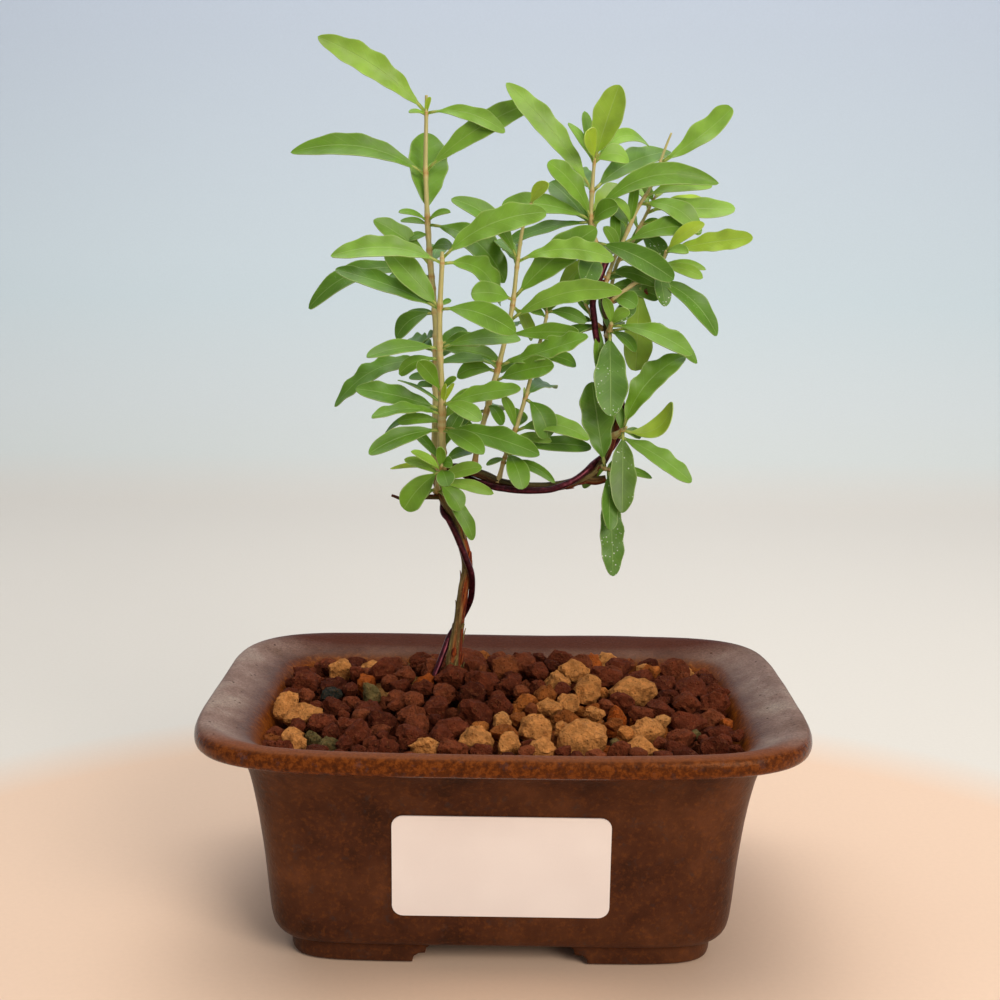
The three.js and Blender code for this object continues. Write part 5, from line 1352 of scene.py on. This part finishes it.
def stem_tube(bm, stem, leaf_places, ripeness):
    """A stem that swells into a ring where leaves leave it, and is that ripe at its foot."""
    run = stem.length()
    ripe = bm.verts.layers.float["ripe"]
    fibre = bm.verts.layers.float_vector["fibre"]

    def node(t):
        return max(math.exp(-(((t - place) * run / NODE_WIDTH) ** 2)) for place in leaf_places)

    def thick(t, angle):
        collar = STEM_COLLAR * math.exp(-t * run / COLLAR_LENGTH)
        ribs = STEM_RIBS * math.cos(4 * angle)
        return stem.radius(t) * (STEM_BODY + STEM_NODE * node(t) + collar + ribs)

    def marks(corner, t, angle):
        corner[ripe] = mix(ripeness, TIP_RIPENESS, min(1, t * 4.5)) + NODE_RIPENESS * node(t) ** 4
        corner[fibre] = (math.cos(angle) * 1.2, math.sin(angle) * 1.2, t * run)

    tube(bm, stem, STEM_SIDES, max(14, round(run / STEM_STEP)), thick, marks)


def make_shoot(name, points, rows, dice, looks):
    """One leafy stem: its blades, with a thickness and an underside, and its stem with the stalks."""
    upper, under, woody = looks
    stem = Path(points)
    blades = new_shape("tone")
    stalks = new_shape("ripe", vector="fibre")
    ripeness = WOODY_RIPENESS if stem.radii[0] > WOODY_STEM else YOUNG_RIPENESS
    stem_tube(stalks, stem, [row[0] for row in rows], ripeness)
    for row in rows:
        leaf = Leaf(stem, row, dice)
        # The tone also holds each leaf's painted light and shade.
        tone = min(max(leaf.tone + dice.uniform(*LEAF_TONE), 0), OLDEST_TONE)
        leaf_blade(blades, leaf, tone / DEAD_TONE)
        leaf_stalk(stalks, leaf)
    blades = to_object(blades, name + "_blades", upper, under)
    sheet = blades.modifiers.new("thickness", "SOLIDIFY")
    sheet.thickness = LEAF_THICKNESS * MM
    sheet.offset = -1
    sheet.material_offset = 1
    settle(blades)
    blades.data.set_sharp_from_angle(angle=math.radians(SHARP_EDGE))
    stalks = to_object(stalks, name + "_stems", woody)
    for piece in (blades, stalks):
        stand_for(piece, name)


def make_shoots():
    upper_tones = [
        (0.0, "#a6bf36"), (0.2, "#80a838"), (0.4, "#668f20"), (0.6, "#578118"), (0.8, "#517723"),
        (0.97, "#7a5230"),
    ]
    under_tones = [
        (0.0, "#b0c452"), (0.2, "#8cb350"), (0.4, "#749c48"), (0.6, "#658d46"), (0.8, "#5d844a"),
        (0.97, "#866040"),
    ]
    looks = [
        leaf_finish("pomegranate_leaf_upper", upper_tones, roughness=0.44, shine=0.5, vein_share=1),
        leaf_finish("pomegranate_leaf_underside", under_tones, roughness=0.55, shine=0.25, vein_share=1.4),
        stem_finish(),
    ]
    for number, (name, (points, rows)) in enumerate(SHOOTS.items()):
        make_shoot(name, points, rows, random.Random(SHOOT_SEED + number), looks)


# ---------------------------------------------------------------- soil


def soil_top(x, y):
    """Height of the soil: a mound round its peak, and a dip where the front left wall stays bare."""
    mid_x, mid_y, rise, spread_x, front, back = SOIL_MOUND
    spread_y = back if y > mid_y else front
    mound = rise * math.exp(-(((x - mid_x) / spread_x) ** 2) - ((y - mid_y) / spread_y) ** 2)
    mid_x, mid_y, depth, spread_x, spread_y = SOIL_DIP
    dip = depth * math.exp(-(((x - mid_x) / spread_x) ** 2) - ((y - mid_y) / spread_y) ** 2)
    return SOIL_EDGE + mound - dip


def in_tan_patch(x, y):
    mid_x, mid_y, half_width, half_depth = TAN_PATCH
    return ((x - mid_x) / half_width) ** 2 + ((y - mid_y) / half_depth) ** 2 < 1


def lump(bm, where, width, kind, dice, detail):
    """A broken clod: a ball cut back by flat breaks, roughened, squeezed and turned."""
    ball = bmesh.ops.create_icosphere(bm, subdivisions=detail, radius=1)["verts"]
    breaks = []
    for _ in range(GRAIN_BREAKS):
        facing = Vector((dice.gauss(0, 1), dice.gauss(0, 1), dice.gauss(0, 1))).normalized()
        breaks.append((facing, dice.uniform(*BREAK_DEPTH)))
    seed = Vector((dice.uniform(0, 90), dice.uniform(0, 90), dice.uniform(0, 90)))
    squeeze = Vector((1, dice.uniform(*GRAIN_DEPTH), dice.uniform(*GRAIN_HEIGHT))) * (width * GRAIN_RADIUS)
    turn = Quaternion((0, 0, 1), dice.uniform(0, TAU)) @ Quaternion((1, 0, 0), dice.uniform(*GRAIN_TILT))
    layer = bm.verts.layers.float["kind"]
    for corner in ball:
        out = corner.co.normalized()
        reach = 1
        for facing, depth in breaks:
            lean = out.dot(facing)
            if lean * reach > depth:
                reach = depth / lean
        reach *= 1.02 + sum(height * noise.noise(out * often + seed) for often, height in GRAIN_LUMPS)
        reach *= 1 + dice.uniform(*GRAIN_GRIT)
        corner.co = turn @ (out * squeeze * reach) + where
        corner[layer] = kind + dice.uniform(*KIND_SPREAD)


def room_for(x, y, width, spots, closeness):
    """True if a grain fits at a place: inside the wall, and clear of the wood, the wire and other grains."""
    half_width, half_depth, squareness = SOIL_WALL
    half_width, half_depth = half_width - width * WALL_SHARE, half_depth - width * WALL_SHARE
    if abs(x / half_width) ** squareness + abs(y / half_depth) ** squareness > 1:
        return False
    if math.hypot(x - TRUNK[0][0], y - TRUNK[0][1]) < TRUNK_CLEARANCE + width * WOOD_SHARE:
        return False
    if math.hypot(x - WIRE_FOOT.x, y - WIRE_FOOT.y) < WIRE_CLEARANCE + width * WOOD_SHARE:
        return False
    return all(math.hypot(x - sx, y - sy) > (width + sw) * closeness for sx, sy, sw, _ in spots)


def random_kind(x, y, dice):
    """Mostly tan in the tan patch. Elsewhere mostly red, with a few rusty to tan and fewer dark ones."""
    chance = dice.random()
    if in_tan_patch(x, y):
        return dice.uniform(*(TAN_KINDS if chance < TAN_CHANCE else OTHER_KINDS))
    if chance < RED_CHANCE:
        return dice.uniform(*RED_KINDS)
    return dice.uniform(*PALE_KINDS) if chance < 1 - DARK_CHANCE else DARK_KIND


def top_grains():
    """Grains of the top of the soil: the noted ones, then others from large to small in the gaps."""
    dice = random.Random(TOP_SEED)
    spots = [(x, y, width, CLAY_KINDS[kind]) for x, y, width, kind in NOTED_GRAINS]
    for usual, tries, closeness in TOP_GRAINS:
        for _ in range(tries):
            x, y = (dice.uniform(-half, half) for half in TOP_EXTENT)
            width = usual * dice.uniform(*GRAIN_SPREAD)
            if room_for(x, y, width, spots, closeness):
                spots.append((x, y, width, random_kind(x, y, dice)))
    return spots


def lower_grains(dice):
    """Grains of the layer that shows between those of the top."""
    spots = []
    for _ in range(LOWER_TRIES):
        x, y = (dice.uniform(-half, half) for half in LOWER_EXTENT)
        width = dice.uniform(*LOWER_WIDTHS)
        if room_for(x, y, width, spots, LOWER_CLOSENESS):
            spots.append((x, y, width, random_kind(x, y, dice)))
    return spots


def soil_bed(bm):
    """The packed soil under the grains, from the pot's floor to just under the surface."""
    half_width, half_depth, _, squareness = SOIL_BED[-1]
    rows = SOIL_BED + [[share * half_width, share * half_depth, 0, squareness] for share in BED_TOP]
    layer = bm.verts.layers.float["kind"]
    wide, high = BED_CRUMBLE

    def rule(corner, u, v):
        row = round(v * (len(rows) - 1))
        corner.co = soft_rectangle(rows[row], u)
        if row >= len(SOIL_BED):
            crumble = noise.noise(corner.co / wide) * high
            corner.co.z = soil_top(corner.co.x, corner.co.y) - BED_DEPTH + crumble
        corner[layer] = 0.0

    bent_sheet(bm, 48, len(rows) - 1, rule)


def make_soil():
    """The red and the tan grains, each kind one piece, with the packed soil in the red one."""
    dice = random.Random(SOIL_SEED)
    red, tan = new_shape("kind"), new_shape("kind")
    for x, y, width, kind in top_grains():
        spot = Vector((x, y, soil_top(x, y) + dice.uniform(*TOP_LIFT) - LIFT_LOSS * width))
        lump(tan if in_tan_patch(x, y) else red, spot, width, kind, dice, 3 if width > FINE_GRAIN else 2)
    # The lower grains are shifted darker along the clay ramp, as painted shade between the top grains.
    for x, y, width, kind in lower_grains(dice):
        spot = Vector((x, y, soil_top(x, y) - dice.uniform(*LOWER_DEPTH)))
        lump(tan if in_tan_patch(x, y) else red, spot, width, kind * LOWER_SHADE, dice, 2)
    soil_bed(red)
    red = to_object(red, "red_clay_surface", clay_finish("red_baked_clay"), smooth=False)
    tan = to_object(tan, "tan_clay_surface", clay_finish("tan_baked_clay"), smooth=False)
    stand_for(red, "soil_red_grains")
    stand_for(tan, "soil_tan_grains")


# ---------------------------------------------------------------- camera, light and stage


def add_camera():
    camera = bpy.data.objects.new("camera", bpy.data.cameras.new("camera"))
    camera.data.lens = LENS
    camera.data.sensor_width = SENSOR_WIDTH
    camera.data.clip_start = 0.01
    yaw, pitch, roll = (math.radians(angle) for angle in CAMERA_TURNS)
    ahead = Vector((-math.sin(yaw) * math.cos(pitch), math.cos(yaw) * math.cos(pitch), -math.sin(pitch)))
    level = Vector((math.cos(yaw), math.sin(yaw), 0))
    above = level.cross(ahead)
    right = level * math.cos(roll) + above * math.sin(roll)
    up = above * math.cos(roll) - level * math.sin(roll)
    turn = Matrix((right, up, -ahead)).transposed().to_4x4()
    camera.matrix_world = Matrix.Translation(CAMERA_PLACE * MM) @ turn
    bpy.context.scene.collection.objects.link(camera)
    bpy.context.scene.camera = camera


def add_lamp(name, place, aim, size, power, colour):
    lamp = bpy.data.lights.new(name, "AREA")
    lamp.shape = "RECTANGLE"
    lamp.size, lamp.size_y = size
    lamp.energy = power
    lamp.color = linear(colour)[:3]
    box = bpy.data.objects.new(name, lamp)
    box.location = place
    box.rotation_euler = (Vector(aim) - Vector(place)).to_track_quat("-Z", "Y").to_euler()
    bpy.context.scene.collection.objects.link(box)


def add_stage():
    """A pale floor, warmer round the pot, that sweeps up into the backdrop behind it, its left side dimmed
    low down as painted shade.
    """
    finish, shader, add = new_finish("painted_studio_sweep", IOR=1.45, Roughness=0.9)
    place = add("TexCoord").outputs["Object"]
    height = add("SeparateXYZ", {"Vector": place}).outputs["Z"]
    rise = add("MapRange", {"Value": height, "From Max": 620 * MM})
    colour = add(
        "ValToRGB",
        {"Fac": rise},
        stops=[
            (0.0, "#dfd9ce"), (0.03, "#d8dcd7"), (0.08, "#d5dbda"), (0.2, "#ccd8dc"), (0.9, "#c2cce4"),
        ],
    )
    table = add("VectorMath", {0: place, 1: (0, 60 * MM, 0)}, operation="ADD")
    reach = add("VectorMath", {0: table}, operation="LENGTH").outputs["Value"]
    near = add("MapRange", {"Value": reach, "From Min": 235 * MM, "From Max": 200 * MM})
    colour = blend(add, near, colour, "#e8c9ae")
    # Painted shade: the left of the floor and the foot of the backdrop are dimmed.
    sideways = add("SeparateXYZ", {"Vector": place}).outputs["X"]
    left = add("MapRange", {"Value": sideways, "From Min": 120 * MM, "From Max": -200 * MM})
    low = add("MapRange", {"Value": rise, "From Min": 0.25, "From Max": 0, "To Max": 0.07})
    left_shade = add("Math", {0: left, 1: low}, operation="MULTIPLY")
    left_shade = add("Math", {0: 1.0, 1: left_shade}, operation="SUBTRACT")
    colour = add("VectorMath", {0: colour, "Scale": left_shade}, operation="SCALE")
    paper = add("TexNoise", {"Vector": place, "Scale": per_mm(1.4), "Detail": 4})
    shade = add("MapRange", {"Value": paper, "To Min": 0.97, "To Max": 1.03})
    colour = add("VectorMath", {0: colour, "Scale": shade}, operation="SCALE")
    fit(shader.inputs["Base Color"], colour)
    bm = new_shape()

    def rule(corner, u, v):
        run = v * SWEEP_RUN
        bend = max(0, run - FLOOR_LENGTH) / SWEEP_RADIUS
        x = (u - 0.5) * FLOOR_WIDTH
        if bend <= 0:
            corner.co = (x, FLOOR_FRONT + run, 0)
            return
        quarter = min(bend, math.pi / 2)
        y = FLOOR_FRONT + FLOOR_LENGTH + SWEEP_RADIUS * math.sin(quarter)
        z = SWEEP_RADIUS * (1 - math.cos(quarter)) + (bend - quarter) * SWEEP_RADIUS * BACKDROP_STRETCH
        corner.co = (x, y, z)

    bent_sheet(bm, 2, 60, rule)
    to_object(bm, "studio_sweep", finish)


def add_world():
    world = bpy.data.worlds.new("soft_room_light")
    world.use_nodes = True
    bpy.context.scene.world = world
    background = world.node_tree.nodes["Background"]
    fit(background.inputs["Color"], "#eceef2")
    fit(background.inputs["Strength"], WORLD_LIGHT)


make_pot()
make_label()
dress_drain_meshes()
make_soil()
make_trunk()
make_wire()
make_shoots()
add_camera()
add_stage()
add_world()
for lamp in LAMPS:
    add_lamp(*lamp)
bpy.context.scene.view_settings.view_transform = "Standard"

bpy.context.view_layer.update()
